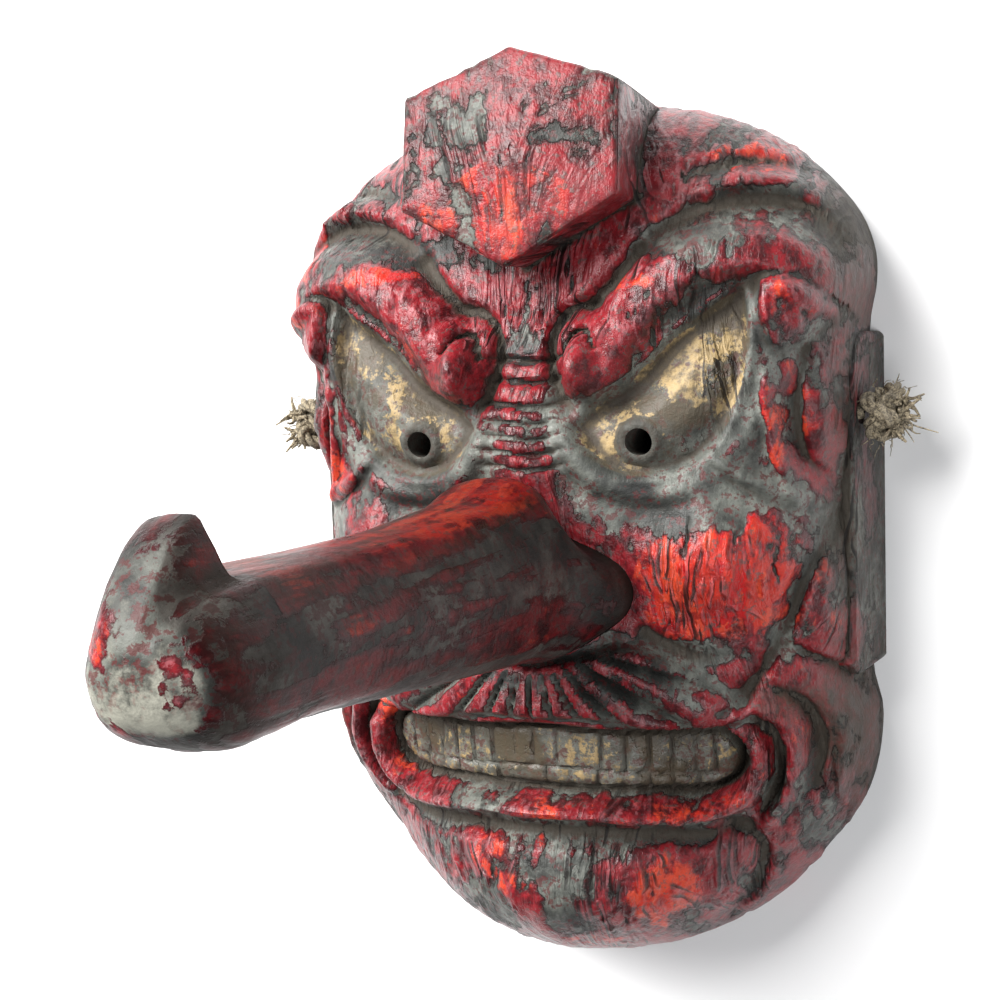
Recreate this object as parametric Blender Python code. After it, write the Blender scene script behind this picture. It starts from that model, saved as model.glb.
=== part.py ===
"""A carved and painted wooden mask of a long-nosed mountain spirit, lying on its flat back rim.

The face looks straight up. +X is the viewer's right when the mask hangs upright, +Y is the top of
the head, and +Z is out of the face, along the nose. The origin is under the middle of the mask, on
the surface that it lies on. The carving is written in shares of the face's own height, so one
number makes a larger or a smaller mask. Walls, bores, fits, the nose, the ears, the forehead cap
and the cord have sizes of their own.
"""
import bpy
import bmesh
import numpy as np
from math import cos, pi, radians, sin
from mathutils import Matrix, Vector

# Driving dimensions, in metres
FACE_HEIGHT = 0.326          # peak of the forehead cap to the chin
WALL = 0.011                 # wood left round the rim when the back is hollowed
HOLLOW_DEPTH = 0.064         # how far the gouge goes in behind the middle of the face
EYE_HOLE_DIAMETER = 0.009
EYE_RING_WIDTH = 0.003
CORD_DIAMETER = 0.006
CORD_CLEARANCE = 0.0015      # room round the cord in its holes
CORD_HOLE_HEIGHT = 0.028     # middle of the cord hole above the rim
KNOT_DIAMETER = 0.024
EAR_LENGTH = 0.121
EAR_DEPTH = 0.037            # rim to the front edge of an ear
EAR_PROUD = 0.008            # how far an ear's plate stands out of the side of the head
CAP_WIDTH = 0.074            # forehead cap, between its two upright sides
CAP_LENGTH = 0.071           # forehead cap, top point to bottom point
CAP_RISE = 0.097             # rim to the front edge of the cap
CAP_POINT = 0.006            # how far the middle of the cap's front stands out
NOSE_LENGTH = 0.237          # seat to tip
NOSE_THICKNESS = 0.043
NOSE_HOOK = 0.014            # raised lip on top of the nose's tip
NECK_START = 0.014           # over the seat: here the nose's flared root begins to turn round
NECK_LENGTH = 0.036          # and over this length it becomes the shaft
SEAT_DEPTH = 0.011           # the nose's root sits this deep in the face
WORN_EDGE = 0.0015           # the cap's and the ears' front edges are worn back this far
FIT_GAP = 0.0003             # room between two pieces that touch

# The carving's unit: one of 326 shares of the face height, a millimetre on this mask
CARVING_SHARES = 326
UNIT = FACE_HEIGHT / CARVING_SHARES
FACE_TRIANGLES = 5300        # facets kept on the outside of the face
GRID_ACROSS = 150
GRID_ALONG = 210

# Half of the rim, from the top of the head to the chin, in units from the middle of the rim
MIDDLE_UP = 6                # the carving's zero lies this far under the middle of the mask
RIM = [(0, 148), (33, 146), (59, 139), (81, 127), (98, 109), (105, 94), (106, 80), (103, 60),
       (101, 0), (103, -57), (107, -80), (102, -108), (87, -131), (71, -148), (51, -160),
       (28, -167), (0, -169)]
DOME = 88
# How boxy the block is towards the rim, for directions from the top of the head to the chin:
# full over the temples, sloping at the jaw, square again under the chin
BOXINESS = [(0, 2.8), (20, 3.2), (50, 3.3), (75, 2.9), (110, 2.5), (132, 2.05), (150, 2.1),
            (165, 2.8), (180, 3.3)]
PUPIL = (39, 28)
HIDDEN_DROP = 5              # how far the rough block runs on below the rim before it is cut flat


def clear_scene():
    for old in list(bpy.data.objects):
        bpy.data.objects.remove(old, do_unlink=True)


def smooth_step(value):
    """0 to 1 with a soft start and end."""
    held = np.clip(value, 0.0, 1.0)
    return held * held * (3.0 - 2.0 * held)


def smooth_path(points, steps=6, closed=False):
    """A curve that passes through every point (Catmull-Rom)."""
    known = [np.array(point, float) for point in points]
    count = len(known)
    spans = count if closed else count - 1
    line = []
    for index in range(spans):
        if closed:
            around = [known[(index + offset) % count] for offset in (-1, 0, 1, 2)]
        else:
            around = [known[min(max(index + offset, 0), count - 1)] for offset in (-1, 0, 1, 2)]
        before, start, end, after = around
        for step in range(steps):
            t = step / steps
            line.append(0.5 * (2 * start + (end - before) * t
                               + (2 * before - 5 * start + 4 * end - after) * t * t
                               + (3 * start - before - 3 * end + after) * t ** 3))
    if not closed:
        line.append(known[-1])
    return np.array(line)


def near_line(x, y, line):
    """Distance to a line, how far along it the nearest point is (0 to 1), and the side."""
    nearest = np.full(x.shape, 1e9)
    along = np.zeros(x.shape)
    side = np.zeros(x.shape)
    lengths = np.hypot(*(line[1:] - line[:-1]).T)
    total = lengths.sum()
    run = 0.0
    for start, end, length in zip(line[:-1], line[1:], lengths):
        dx, dy = (end - start) / max(length, 1e-9)
        share = np.clip((x - start[0]) * dx + (y - start[1]) * dy, 0.0, length)
        off_x = x - start[0] - share * dx
        off_y = y - start[1] - share * dy
        distance = np.hypot(off_x, off_y)
        closer = distance < nearest
        nearest = np.where(closer, distance, nearest)
        along = np.where(closer, (run + share) / total, along)
        side = np.where(closer, np.sign(dx * off_y - dy * off_x), side)
        run += length
    return nearest, along, side


def gouge(x, y, points, width, heights, left=None, flat=0.0):
    """A ridge (positive) or a gouge mark (negative) along a smooth path.

    width is the half width right of the path, and left the one left of it, seen along the path.
    heights run along the path, and flat is the share of the width that keeps the full height.
    """
    distance, along, side = near_line(x, y, smooth_path(points))
    reach = np.where(side > 0, width if left is None else left, width)
    profile = smooth_step((reach - distance) / (reach * (1.0 - flat)))
    height = np.interp(along, np.linspace(0, 1, len(heights)), heights)
    return profile * height


def patch(x, y, points, bank):
    """1 inside a closed smooth outline, falling to 0 at its edge over the width of its bank."""
    line = smooth_path(points, closed=True)
    loop = np.vstack([line, line[:1]])
    distance = near_line(x, y, loop)[0]
    inside = np.zeros(x.shape, bool)
    for start, end in zip(loop[:-1], loop[1:]):
        crosses = (start[1] > y) != (end[1] > y)
        drop = end[1] - start[1] if abs(end[1] - start[1]) > 1e-9 else 1e-9
        inside ^= crosses & (x < start[0] + (y - start[1]) * (end[0] - start[0]) / drop)
    return np.where(inside, smooth_step(distance / bank), 0.0)


def swelling(x, y, middle, radii, height, turn=0.0):
    """A rounded swelling, or a hollow where the height is negative."""
    tilt = radians(turn)
    dx, dy = x - middle[0], y - middle[1]
    across = (dx * cos(tilt) + dy * sin(tilt)) / radii[0]
    up = (dy * cos(tilt) - dx * sin(tilt)) / radii[1]
    return height * smooth_step(1.0 - np.hypot(across, up))


def rim_radius(x, y):
    """How far the rim lies from the carving's zero in the direction of a point."""
    half = smooth_path(RIM, steps=4)
    angles = np.arctan2(half[:, 0], half[:, 1])
    return np.interp(np.arctan2(np.abs(x), y), angles, np.hypot(half[:, 0], half[:, 1]))


def dome(x, y):
    """The plain rounded block, before the features are cut."""
    share = np.clip(np.hypot(x, y) / rim_radius(x, y), 0.0, 1.0)
    directions, powers = zip(*BOXINESS)
    power = np.interp(np.degrees(np.arctan2(np.abs(x), y)), directions, powers)
    return DOME * (1.0 - share ** power) ** (1.0 / power)


def forehead(x, y):
    folds = gouge(x, y, [(38, 92), (50, 100), (64, 105), (80, 105), (92, 101), (99, 92)], 6,
                  (-2, -5, -6, -5, -3))
    folds += gouge(x, y, [(60, 109), (72, 112), (84, 111), (95, 103), (102, 90)], 7,
                   (2, 5, 6, 4, 2))
    folds += gouge(x, y, [(54, 115), (70, 119), (86, 116), (94, 110)], 5, (-2, -4, -4, -1))
    return folds


def brow(x, y):
    """The heavy brow, which rolls into a curl over the nose and ends in a hanging leaf."""
    middle_line = [(25, 51), (33, 64), (45, 76), (58, 85), (71, 88), (84, 86), (93, 78)]
    relief = gouge(x, y, middle_line, 12, (8, 9, 10, 11, 11, 10, 7), left=14, flat=0.25)
    relief += gouge(x, y, [(14, 68), (26, 76), (38, 90)], 5, (-1, -3, -2))
    relief += swelling(x, y, (20, 53), (9, 15), 10, turn=8)
    relief += gouge(x, y, [(27, 65), (20, 69), (13, 65), (10, 56), (12, 46), (17, 39)], 4,
                    (-2, -3, -4, -4, -3, -2))
    relief += gouge(x, y, [(26, 63), (24, 56), (27, 49)], 3, (-3, -5, -2))
    relief += patch(x, y, [(76, 79), (88, 80), (99, 71), (95, 62), (84, 54), (77, 62)], 5) * 8
    return relief


def eye(x, y):
    socket = patch(x, y, [(15, 33), (24, 19), (39, 14), (56, 18), (67, 29), (74, 46), (76, 64),
                          (73, 78), (62, 73), (47, 62), (36, 50), (24, 43)], 6) * -8
    ball = gouge(x, y, [(24, 28), (39, 30), (54, 40), (64, 53), (70, 66)], 19,
                 (6, 9, 9, 7, 4), left=20, flat=0.1)
    lid = gouge(x, y, [(12, 36), (20, 18), (38, 10), (58, 14), (71, 27), (79, 46)], 4,
                (2, 3, 3, 3, 2))
    distance = np.hypot(x - PUPIL[0], y - PUPIL[1])
    ring_middle = (EYE_HOLE_DIAMETER + EYE_RING_WIDTH) / (2 * UNIT)
    half_ring = EYE_RING_WIDTH / UNIT
    ring = 1.5 * smooth_step(1.0 - np.abs(distance - ring_middle) / half_ring)
    return socket + ball + lid + ring


def bridge(x, y):
    relief = swelling(x, y, (0, 26), (20, 42), 9)
    for level, depth in ((57, 3), (50, 3), (41, 3), (35, 2), (30, 2), (25, 2), (20, 2)):
        relief += gouge(x, y, [(-14, level + 1), (0, level - 1), (14, level + 1)], 2.6,
                        (-depth * 0.5, -depth, -depth * 0.5))
    return relief


def cheek(x, y):
    relief = swelling(x, y, (65, -12), (36, 30), 10)
    relief += gouge(x, y, [(60, 24), (72, 15), (87, 8)], 4, (1, 3, 2))
    relief += gouge(x, y, [(62, 18), (74, 9), (88, 2)], 3, (-1, -2, -2))
    relief += gouge(x, y, [(38, -36), (52, -44), (67, -45), (80, -38), (88, -24), (96, -6)], 6,
                    (-3, -5, -5, -5, -5, -3))
    relief += swelling(x, y, (44, 3), (20, 13), -3, turn=-15)
    return relief


def moustache(x, y):
    """Strands that fan out from under the nose and end in a stepped edge over the teeth."""
    area = patch(x, y, [(-12, -50), (14, -43), (32, -39), (48, -45), (62, -56), (70, -66),
                        (58, -72), (38, -71), (20, -67), (-12, -66)], 4)
    fan = np.arctan2(np.abs(x), -(y + 34))
    strands = np.cos(fan * 2 * pi / radians(11))
    weight = np.clip((np.hypot(x, y + 34) - 12) / 14, 0.0, 1.0)
    return area * (5 + 1.3 * strands * weight)


def mouth(x, y):
    opening = patch(x, y, [(-14, -70), (20, -71), (42, -74), (60, -75), (68, -80), (67, -87),
                           (56, -94), (36, -97), (12, -98), (-14, -98)], 4)
    relief = opening * -13
    teeth = patch(x, y, [(-14, -72), (30, -75), (54, -77), (61, -82), (56, -90), (34, -95),
                         (-14, -96)], 3)
    gaps = np.zeros(x.shape)
    for place in (6, 18.5, 30, 40, 48, 55):
        gaps = np.maximum(gaps, smooth_step(1.0 - np.abs(x - place) / 1.4))
    gaps = np.maximum(gaps, smooth_step(1.0 - np.abs(y + 85.5 - 0.02 * x) / 1.4))
    relief += teeth * (6 - 1.8 * gaps)
    lip = [(-10, -101), (12, -101), (36, -101), (56, -98), (67, -92), (73, -83)]
    relief += gouge(x, y, lip, 7, (9, 9, 9, 9, 8, 4), flat=0.15)
    relief += gouge(x, y, [(-10, -110), (12, -110), (36, -111), (56, -108), (68, -102)], 6,
                    (-6, -6, -6, -6, -3))
    return relief


def smile_folds(x, y):
    relief = gouge(x, y, [(70, -72), (78, -80), (77, -92), (70, -99)], 5, (-4, -8, -8, -3))
    relief += gouge(x, y, [(68, -63), (80, -67), (88, -78), (86, -93), (75, -104)], 5,
                    (2, 5, 7, 6, 3), flat=0.1)
    relief += gouge(x, y, [(78, -56), (91, -66), (96, -80), (92, -97)], 4, (-2, -4, -4, -2))
    relief += gouge(x, y, [(90, -54), (100, -70), (101, -88), (96, -104)], 5, (1, 4, 4, 2))
    return relief


def chin(x, y):
    relief = swelling(x, y, (0, -133), (66, 44), 17)
    relief += gouge(x, y, [(60, -106), (68, -116), (66, -132), (55, -149)], 6, (-3, -6, -6, -3))
    return relief


def ear_lobes(x, y):
    relief = gouge(x, y, [(92, 58), (84, 50), (82, 38), (86, 25), (93, 14)], 5, (1, 4, 5, 4, 1))
    relief += gouge(x, y, [(90, 52), (88, 40), (91, 28)], 4, (-3, -5, -3))
    relief += swelling(x, y, (94, 38), (9, 17), 6)
    relief += swelling(x, y, (95, -26), (11, 30), 6)
    relief += gouge(x, y, [(84, -4), (85, -26), (90, -48)], 4, (-2, -5, -2))
    return relief


def face_surface(x, y):
    """Height of the carved face over the rim, in units; the two halves mirror each other."""
    side = np.abs(x)
    block = dome(x, y)
    relief = (forehead(side, y) + brow(side, y) + eye(side, y) + bridge(x, y) + cheek(side, y)
              + moustache(side, y) + mouth(side, y) + smile_folds(side, y) + chin(x, y)
              + ear_lobes(side, y))
    # Cuts fade out on the steep side of the head, where they would undercut the rim
    return block + relief * smooth_step((block - 6) / 30)


def disc_places(across, along):
    """Spread a square grid's places over the mask's outline, closer together near the rim."""
    u = across * np.sqrt(1.0 - along * along / 2)
    v = along * np.sqrt(1.0 - across * across / 2)
    out = np.clip(np.hypot(u, v), 0.0, 1.0)
    spread = np.where(out < 0.8, 1.1 * out, 1 - 0.1 * (1 - out) - 2.5 * (1 - out) ** 2)
    angle = np.arctan2(u, v)
    x, y = np.sin(angle), np.cos(angle)
    radius = rim_radius(x, y) * spread
    return x * radius, y * radius


def new_object(name, shape, material=None):
    mesh = bpy.data.meshes.new(name)
    shape.to_mesh(mesh)
    shape.free()
    made = bpy.data.objects.new(name, mesh)
    bpy.context.collection.objects.link(made)
    if material:
        mesh.materials.append(material)
    return made


def plain_material(name, colour, roughness):
    material = bpy.data.materials.new(name)
    material.use_nodes = True
    surface = material.node_tree.nodes["Principled BSDF"]
    surface.inputs["Base Color"].default_value = (*colour, 1.0)
    surface.inputs["Roughness"].default_value = roughness
    return material


def as_cutter(made):
    made.hide_render = True
    made.display_type = "WIRE"
    return made


def combine(target, other, operation):
    change = target.modifiers.new(operation.title() + " " + other.name, "BOOLEAN")
    change.operation = operation
    change.solver = "EXACT"
    change.object = as_cutter(other)


def domed_block(name, surface, across, along, drop, material=None, place=disc_places):
    """A closed block: a grid laid over the outline, raised by a surface, with a flat underside."""
    shape = bmesh.new()
    bmesh.ops.create_grid(shape, x_segments=across, y_segments=along, size=1.0)
    flat = np.array([vertex.co[:2] for vertex in shape.verts])
    x, y = place(flat[:, 0], flat[:, 1])
    height = surface(x, y)
    for vertex, px, py, pz in zip(shape.verts, x, y, height):
        vertex.co = Vector((px, py + MIDDLE_UP, pz)) * UNIT
    edges = [edge for edge in shape.edges if edge.is_boundary]
    skirt = bmesh.ops.extrude_edge_only(shape, edges=edges)["geom"]
    low = [item for item in skirt if isinstance(item, bmesh.types.BMVert)]
    for vertex in low:
        vertex.co.z = -drop * UNIT
    bottom = [item for item in skirt if isinstance(item, bmesh.types.BMEdge)]
    bmesh.ops.edgeloop_fill(shape, edges=[edge for edge in bottom if edge.is_boundary])
    bmesh.ops.recalc_face_normals(shape, faces=shape.faces)
    return new_object(name, shape, material)


def hollow_block():
    """The gouged-out back: a smooth inner dome, one wall inside the rim all round."""
    wall = WALL / UNIT
    power = 2.6

    def places(across, along):
        x, y = disc_places(across, along)
        keep = 1.0 - wall / rim_radius(x, y)
        return x * keep, y * keep

    def inside(x, y):
        share = np.clip(np.hypot(x, y) / (rim_radius(x, y) - wall), 0.0, 1.0)
        return HOLLOW_DEPTH / UNIT * (1.0 - share ** power) ** (1.0 / power)

    return domed_block("hollow", inside, 22, 30, 2 * HIDDEN_DROP, place=places)


def ring_of(shape, points):
    return [shape.verts.new(point) for point in points]


def lofted(name, rings, material=None):
    """A closed solid through rings with the same number of points."""
    shape = bmesh.new()
    loops = [ring_of(shape, ring) for ring in rings]
    for low, high in zip(loops[:-1], loops[1:]):
        for index in range(len(low)):
            following = (index + 1) % len(low)
            shape.faces.new((low[index], low[following], high[following], high[index]))
    shape.faces.new(list(reversed(loops[0])))
    shape.faces.new(loops[-1])
    bmesh.ops.recalc_face_normals(shape, faces=shape.faces)
    return new_object(name, shape, material)


def rod(name, start, end, radius, sides=16):
    """A straight round cutter between two points."""
    direction = Vector(end) - Vector(start)
    shape = bmesh.new()
    turn = direction.to_track_quat("Z", "Y").to_matrix().to_4x4()
    bmesh.ops.create_cone(shape, cap_ends=True, segments=sides, radius1=radius, radius2=radius,
                          depth=direction.length,
                          matrix=Matrix.Translation((Vector(start) + Vector(end)) / 2) @ turn)
    return new_object(name, shape)


# The forehead cap: a hexagon seen from the front, its middle at this height up the forehead
CAP_MIDDLE = (121.5 + MIDDLE_UP) * UNIT
CAP_TILT = 0.15              # the lower point of its front stands forward by this slope


def forehead_cap():
    """A small six-sided cap with a shallow pyramid for a front."""
    half_width, half_length = CAP_WIDTH / 2, CAP_LENGTH / 2
    upper, lower = 0.31 * CAP_LENGTH, -0.21 * CAP_LENGTH
    corners = [(0, half_length), (-half_width, upper), (-half_width, lower),
               (0, -half_length), (half_width, lower), (half_width, upper)]
    root = 0.3 * CAP_RISE

    def ring(scale, rise):
        return [(px * scale, CAP_MIDDLE + py * scale, rise - CAP_TILT * py * scale)
                for px, py in corners]

    narrow = [(px * 0.96, CAP_MIDDLE + min(py * 0.96, half_length - 9 * UNIT), root)
              for px, py in corners]
    return lofted("cap block", [narrow, ring(1.0, CAP_RISE - WORN_EDGE), ring(0.985, CAP_RISE),
                                ring(0.12, CAP_RISE + CAP_POINT)])


EAR_MIDDLE = (1.5 + MIDDLE_UP) * UNIT
EAR_LEAN = 0.2               # an ear's outer face leans in by this slope
SIDE_OF_HEAD = 101 * UNIT


def ear_plate(side):
    """A flat plate on the side of the head, with a rounded upper corner."""
    half = EAR_LENGTH / 2
    corner = 0.1 * EAR_LENGTH
    below = -(HIDDEN_DROP + 1) * UNIT
    profile = [(-half, EAR_DEPTH * 0.8), (-half + corner * 0.4, EAR_DEPTH)]
    for step in range(5):
        angle = pi / 2 - step * pi / 8
        profile.append((half - corner * (1 - cos(angle)), EAR_DEPTH - corner * (1 - sin(angle))))
    profile += [(half, below), (-half, below)]
    outer = SIDE_OF_HEAD + EAR_PROUD

    def layer(inset, reach):
        ring = []
        for py, pz in profile:
            lean = EAR_LEAN * max(pz, 0.0)
            ring.append((side * (reach - lean), EAR_MIDDLE + py * inset, pz * inset))
        return ring

    thickness = EAR_PROUD + 10 * UNIT
    return lofted("ear plate", [layer(1.0, outer - thickness), layer(1.0, outer - WORN_EDGE),
                                layer(0.975, outer)])


# The nose's section where it meets the face: a narrow ridge over two flared wings, in units
NOSE_ZERO = -18
ROOT = [(0, 14), (6, 12), (9, 5), (13, -3), (23, -8), (32, -14), (35, -22), (32, -30), (23, -37),
        (12, -43), (0, -45)]
NOSE_SIDES = 24
SURFACE_AT_NOSE = 86
SEAT_LEVEL = SURFACE_AT_NOSE * UNIT - SEAT_DEPTH


# The shaft's section from its top to its underside, in shares of its half width and half height:
# a flattened top, an edge, a steep side and a narrower underside
SHAFT = [(0, 1), (0.46, 0.95), (0.68, 0.78), (0.95, 0.22), (0.98, -0.15), (0.82, -0.68),
         (0.48, -0.94), (0, -1)]


def reach_of(outline, angle):
    """How far a half outline lies from its middle, for an angle from the top of the head."""
    angles = np.arctan2(outline[:, 0], outline[:, 1])
    return float(np.interp(angle, angles, np.hypot(outline[:, 0], outline[:, 1])))


def along_nose(share, table):
    """A size of the nose that changes along it, in half thicknesses."""
    shares, sizes = zip(*table)
    return NOSE_THICKNESS / 2 * float(np.interp(share, shares, sizes))


def nose_section(rise, grow=0.0):
    """The points round the nose at a height over its seat."""
    share = rise / NOSE_LENGTH
    neck = float(smooth_step((rise - NECK_START) / NECK_LENGTH))
    top = along_nose(share, [(0, 1.45), (0.085, 1.45), (0.115, 1.7), (0.15, 1.82), (0.22, 1.66),
                             (0.3, 1.48), (0.5, 1.38), (0.7, 1.42), (0.84, 1.46), (1, 1.5)])
    bottom = along_nose(share, [(0, -1.25), (0.3, -0.9), (0.5, -0.6), (0.7, -0.32),
                                (0.82, -0.16), (0.92, -0.18), (1, -0.1)])
    wide = along_nose(share, [(0, 1.3), (0.12, 1.2), (0.3, 1.05), (0.6, 1), (0.86, 1), (1, 0.95)])
    hook = NOSE_HOOK * float(smooth_step((share - 0.888) / 0.02)
                             * smooth_step((1.05 - share) / 0.15))
    end = min(max((share - 0.86) / 0.14, 0.0), 0.999)
    ball = (1.0 - end ** 2.6) ** (1 / 2.6)
    middle = (top + bottom) / 2
    root_outline = smooth_path([(px, py - NOSE_ZERO) for px, py in ROOT], steps=4)
    points = []
    for index in range(NOSE_SIDES):
        angle = 2 * pi * index / NOSE_SIDES
        turned = min(angle, 2 * pi - angle)
        root = reach_of(root_outline, turned) * UNIT + grow
        shaft = reach_of(np.array(SHAFT), turned) * ball
        # The lip rounds off gently to the left and drops steeply to the right
        turn = (angle + pi) % (2 * pi) - pi
        lift = hook * ball * float(smooth_step((turn + radians(80)) / radians(62))
                                   * smooth_step((radians(27) - turn) / radians(22)))
        across = (root * (1 - neck) + wide * shaft * neck) * sin(angle)
        up = root * cos(angle) * (1 - neck)
        up += (middle + (top - middle) * shaft * cos(angle) + lift) * neck
        points.append((across, up + (NOSE_ZERO + MIDDLE_UP) * UNIT, SEAT_LEVEL + rise))
    return points


def nose(material):
    rises = [FIT_GAP] + [NECK_START + NECK_LENGTH * share for share in (-0.06, 0.11, 0.28, 0.47,
                                                                        0.69, 1.0)]
    rises += [NOSE_LENGTH * share for share in (0.30, 0.42, 0.55, 0.68, 0.78, 0.86, 0.888, 0.90,
                                                0.908, 0.93, 0.96, 0.98, 0.994, 1.0)]
    return lofted("nose", [nose_section(rise) for rise in rises], material)


def nose_seat():
    """The pocket cut for the nose's root, with the fit's room all round."""
    outline = nose_section(0.0, grow=FIT_GAP)
    return lofted("nose seat", [[(px, py, SEAT_LEVEL + rise) for px, py, _ in outline]
                                for rise in (0.0, 3 * SEAT_DEPTH)])


CORD_HOLE_UP = (34 + MIDDLE_UP) * UNIT
CORD_HOLE_RADIUS = CORD_DIAMETER / 2 + CORD_CLEARANCE


def face(material):
    carved = domed_block("face", face_surface, GRID_ACROSS, GRID_ALONG, HIDDEN_DROP, material)
    thin = carved.modifiers.new("Facets", "DECIMATE")
    outside = 4 * (GRID_ACROSS + GRID_ALONG) + 2 * GRID_ACROSS * GRID_ALONG
    thin.ratio = FACE_TRIANGLES / outside
    combine(carved, forehead_cap(), "UNION")
    for side in (-1, 1):
        combine(carved, ear_plate(side), "UNION")
    combine(carved, hollow_block(), "DIFFERENCE")
    for side in (-1, 1):
        spot = (side * PUPIL[0] * UNIT, (PUPIL[1] + MIDDLE_UP) * UNIT)
        eye_hole = rod("eye hole", (*spot, 0.3 * DOME * UNIT), (*spot, 1.4 * DOME * UNIT),
                       EYE_HOLE_DIAMETER / 2)
        combine(carved, eye_hole, "DIFFERENCE")
        outer = SIDE_OF_HEAD + EAR_PROUD + WALL
        cord_hole = rod("cord hole", (side * (SIDE_OF_HEAD - 3 * WALL), CORD_HOLE_UP,
                                      CORD_HOLE_HEIGHT),
                        (side * outer, CORD_HOLE_UP, CORD_HOLE_HEIGHT), CORD_HOLE_RADIUS)
        combine(carved, cord_hole, "DIFFERENCE")
    combine(carved, nose_seat(), "DIFFERENCE")
    shape = bmesh.new()
    room = 4 * FACE_HEIGHT
    bmesh.ops.create_cube(shape, size=room, matrix=Matrix.Translation((0, 0, -room / 2)))
    combine(carved, new_object("under the rim", shape), "DIFFERENCE")
    return carved


# The cord's route from the right ear to the left one: in through the hole, down to the surface,
# and across the hollow in two loose bends
OUTSIDE_EAR = SIDE_OF_HEAD + EAR_PROUD - EAR_LEAN * CORD_HOLE_HEIGHT
ON_SURFACE = CORD_DIAMETER / 2 + FIT_GAP
INSIDE = [(92, 34, 22), (81, 33, 18), (73, 29, 9.5), (69, 18, 3), (64, 2, 0), (56, -22, 0),
          (50, -50, 0), (47, -78, 0), (36, -100, 0), (16, -106, 0), (0, -96, 0), (-10, -76, 0),
          (-22, -58, 0), (-40, -56, 0), (-54, -44, 0), (-60, -20, 0), (-65, 2, 0), (-69, 18, 3),
          (-73, 29, 9.5), (-81, 33, 18), (-92, 34, 22)]
CORD_ROUTE = [(OUTSIDE_EAR + FIT_GAP, CORD_HOLE_UP, CORD_HOLE_HEIGHT)]
CORD_ROUTE += [(px * UNIT, (py + MIDDLE_UP) * UNIT,
                ON_SURFACE + rise / 22 * (CORD_HOLE_HEIGHT - ON_SURFACE))
               for px, py, rise in INSIDE]
CORD_ROUTE += [(-OUTSIDE_EAR - FIT_GAP, CORD_HOLE_UP, CORD_HOLE_HEIGHT)]


def cord(material):
    line = smooth_path(CORD_ROUTE, steps=3)
    curve = bpy.data.curves.new("cord", "CURVE")
    curve.dimensions = "3D"
    curve.bevel_depth = CORD_DIAMETER / 2
    curve.bevel_resolution = 2
    curve.use_fill_caps = True
    spline = curve.splines.new("POLY")
    spline.points.add(len(line) - 1)
    for point, place in zip(spline.points, line):
        point.co = (*place, 1.0)
    made = bpy.data.objects.new("cord", curve)
    bpy.context.collection.objects.link(made)
    curve.materials.append(material)
    return made


def knot(name, side, material):
    """The outer shape of an overhand knot pulled up against the ear."""
    shape = bmesh.new()
    bmesh.ops.create_icosphere(shape, subdivisions=2, radius=KNOT_DIAMETER / 2)
    flat_side = 0.2 * KNOT_DIAMETER
    for vertex in shape.verts:
        vertex.co.x = max(vertex.co.x, -flat_side)
    bmesh.ops.dissolve_limit(shape, angle_limit=radians(0.5), verts=shape.verts, edges=shape.edges)
    middle = OUTSIDE_EAR + FIT_GAP + EAR_LEAN * CORD_HOLE_RADIUS + flat_side
    lean = Matrix.Rotation(-EAR_LEAN, 4, "Y")
    place = Matrix.Translation((middle, CORD_HOLE_UP, CORD_HOLE_HEIGHT))
    bmesh.ops.transform(shape, matrix=place @ lean, verts=shape.verts)
    if side < 0:
        bmesh.ops.scale(shape, vec=(-1, 1, 1), verts=shape.verts)
    bmesh.ops.recalc_face_normals(shape, faces=shape.faces)
    return new_object(name, shape, material)


def build():
    clear_scene()
    red_paint = plain_material("red paint on wood", (0.33, 0.03, 0.025), 0.45)
    dark_paint = plain_material("worn dark red paint", (0.12, 0.025, 0.02), 0.38)
    hemp = plain_material("hemp", (0.36, 0.30, 0.20), 0.9)
    face(red_paint)
    nose(dark_paint)
    cord(hemp)
    knot("cord_knot_right", 1, hemp)
    knot("cord_knot_left", -1, hemp)


build()
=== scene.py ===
# %% [markdown]
# # A carved mask with a long nose
#
# An old wooden mask: a scowling face with a nose longer than the face is wide, a six-sided cap on
# the forehead, gilded eyes and teeth, and cracked red paint that has flaked down to a dark ground.
# It was carved to be worn, so its back is hollow, and a hemp cord runs from ear to ear behind it.
# Loose, it lies on its rim and the nose points straight up. The lesson loads the solid model as a
# fixed frame, and then lays a finer surface over it, piece by piece.

# %% Load the frame
import bpy
import bmesh
import numpy as np
from math import cos, pi, radians, sin
from mathutils import Matrix, Vector


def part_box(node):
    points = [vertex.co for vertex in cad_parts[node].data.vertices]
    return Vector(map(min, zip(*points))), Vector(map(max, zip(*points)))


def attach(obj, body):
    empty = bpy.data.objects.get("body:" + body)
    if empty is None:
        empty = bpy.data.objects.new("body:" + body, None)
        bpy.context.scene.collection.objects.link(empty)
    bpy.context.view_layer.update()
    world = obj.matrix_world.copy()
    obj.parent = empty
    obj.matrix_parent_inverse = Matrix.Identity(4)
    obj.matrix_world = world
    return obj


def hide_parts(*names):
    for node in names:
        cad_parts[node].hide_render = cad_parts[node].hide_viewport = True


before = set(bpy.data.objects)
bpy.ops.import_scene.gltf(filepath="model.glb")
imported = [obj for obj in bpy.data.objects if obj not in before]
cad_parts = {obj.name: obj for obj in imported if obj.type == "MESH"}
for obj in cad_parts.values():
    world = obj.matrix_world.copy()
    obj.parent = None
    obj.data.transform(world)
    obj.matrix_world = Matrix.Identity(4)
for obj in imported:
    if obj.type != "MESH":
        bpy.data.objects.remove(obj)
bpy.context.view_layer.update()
face_low, face_high = (Vector(corner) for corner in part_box("face"))

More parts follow.
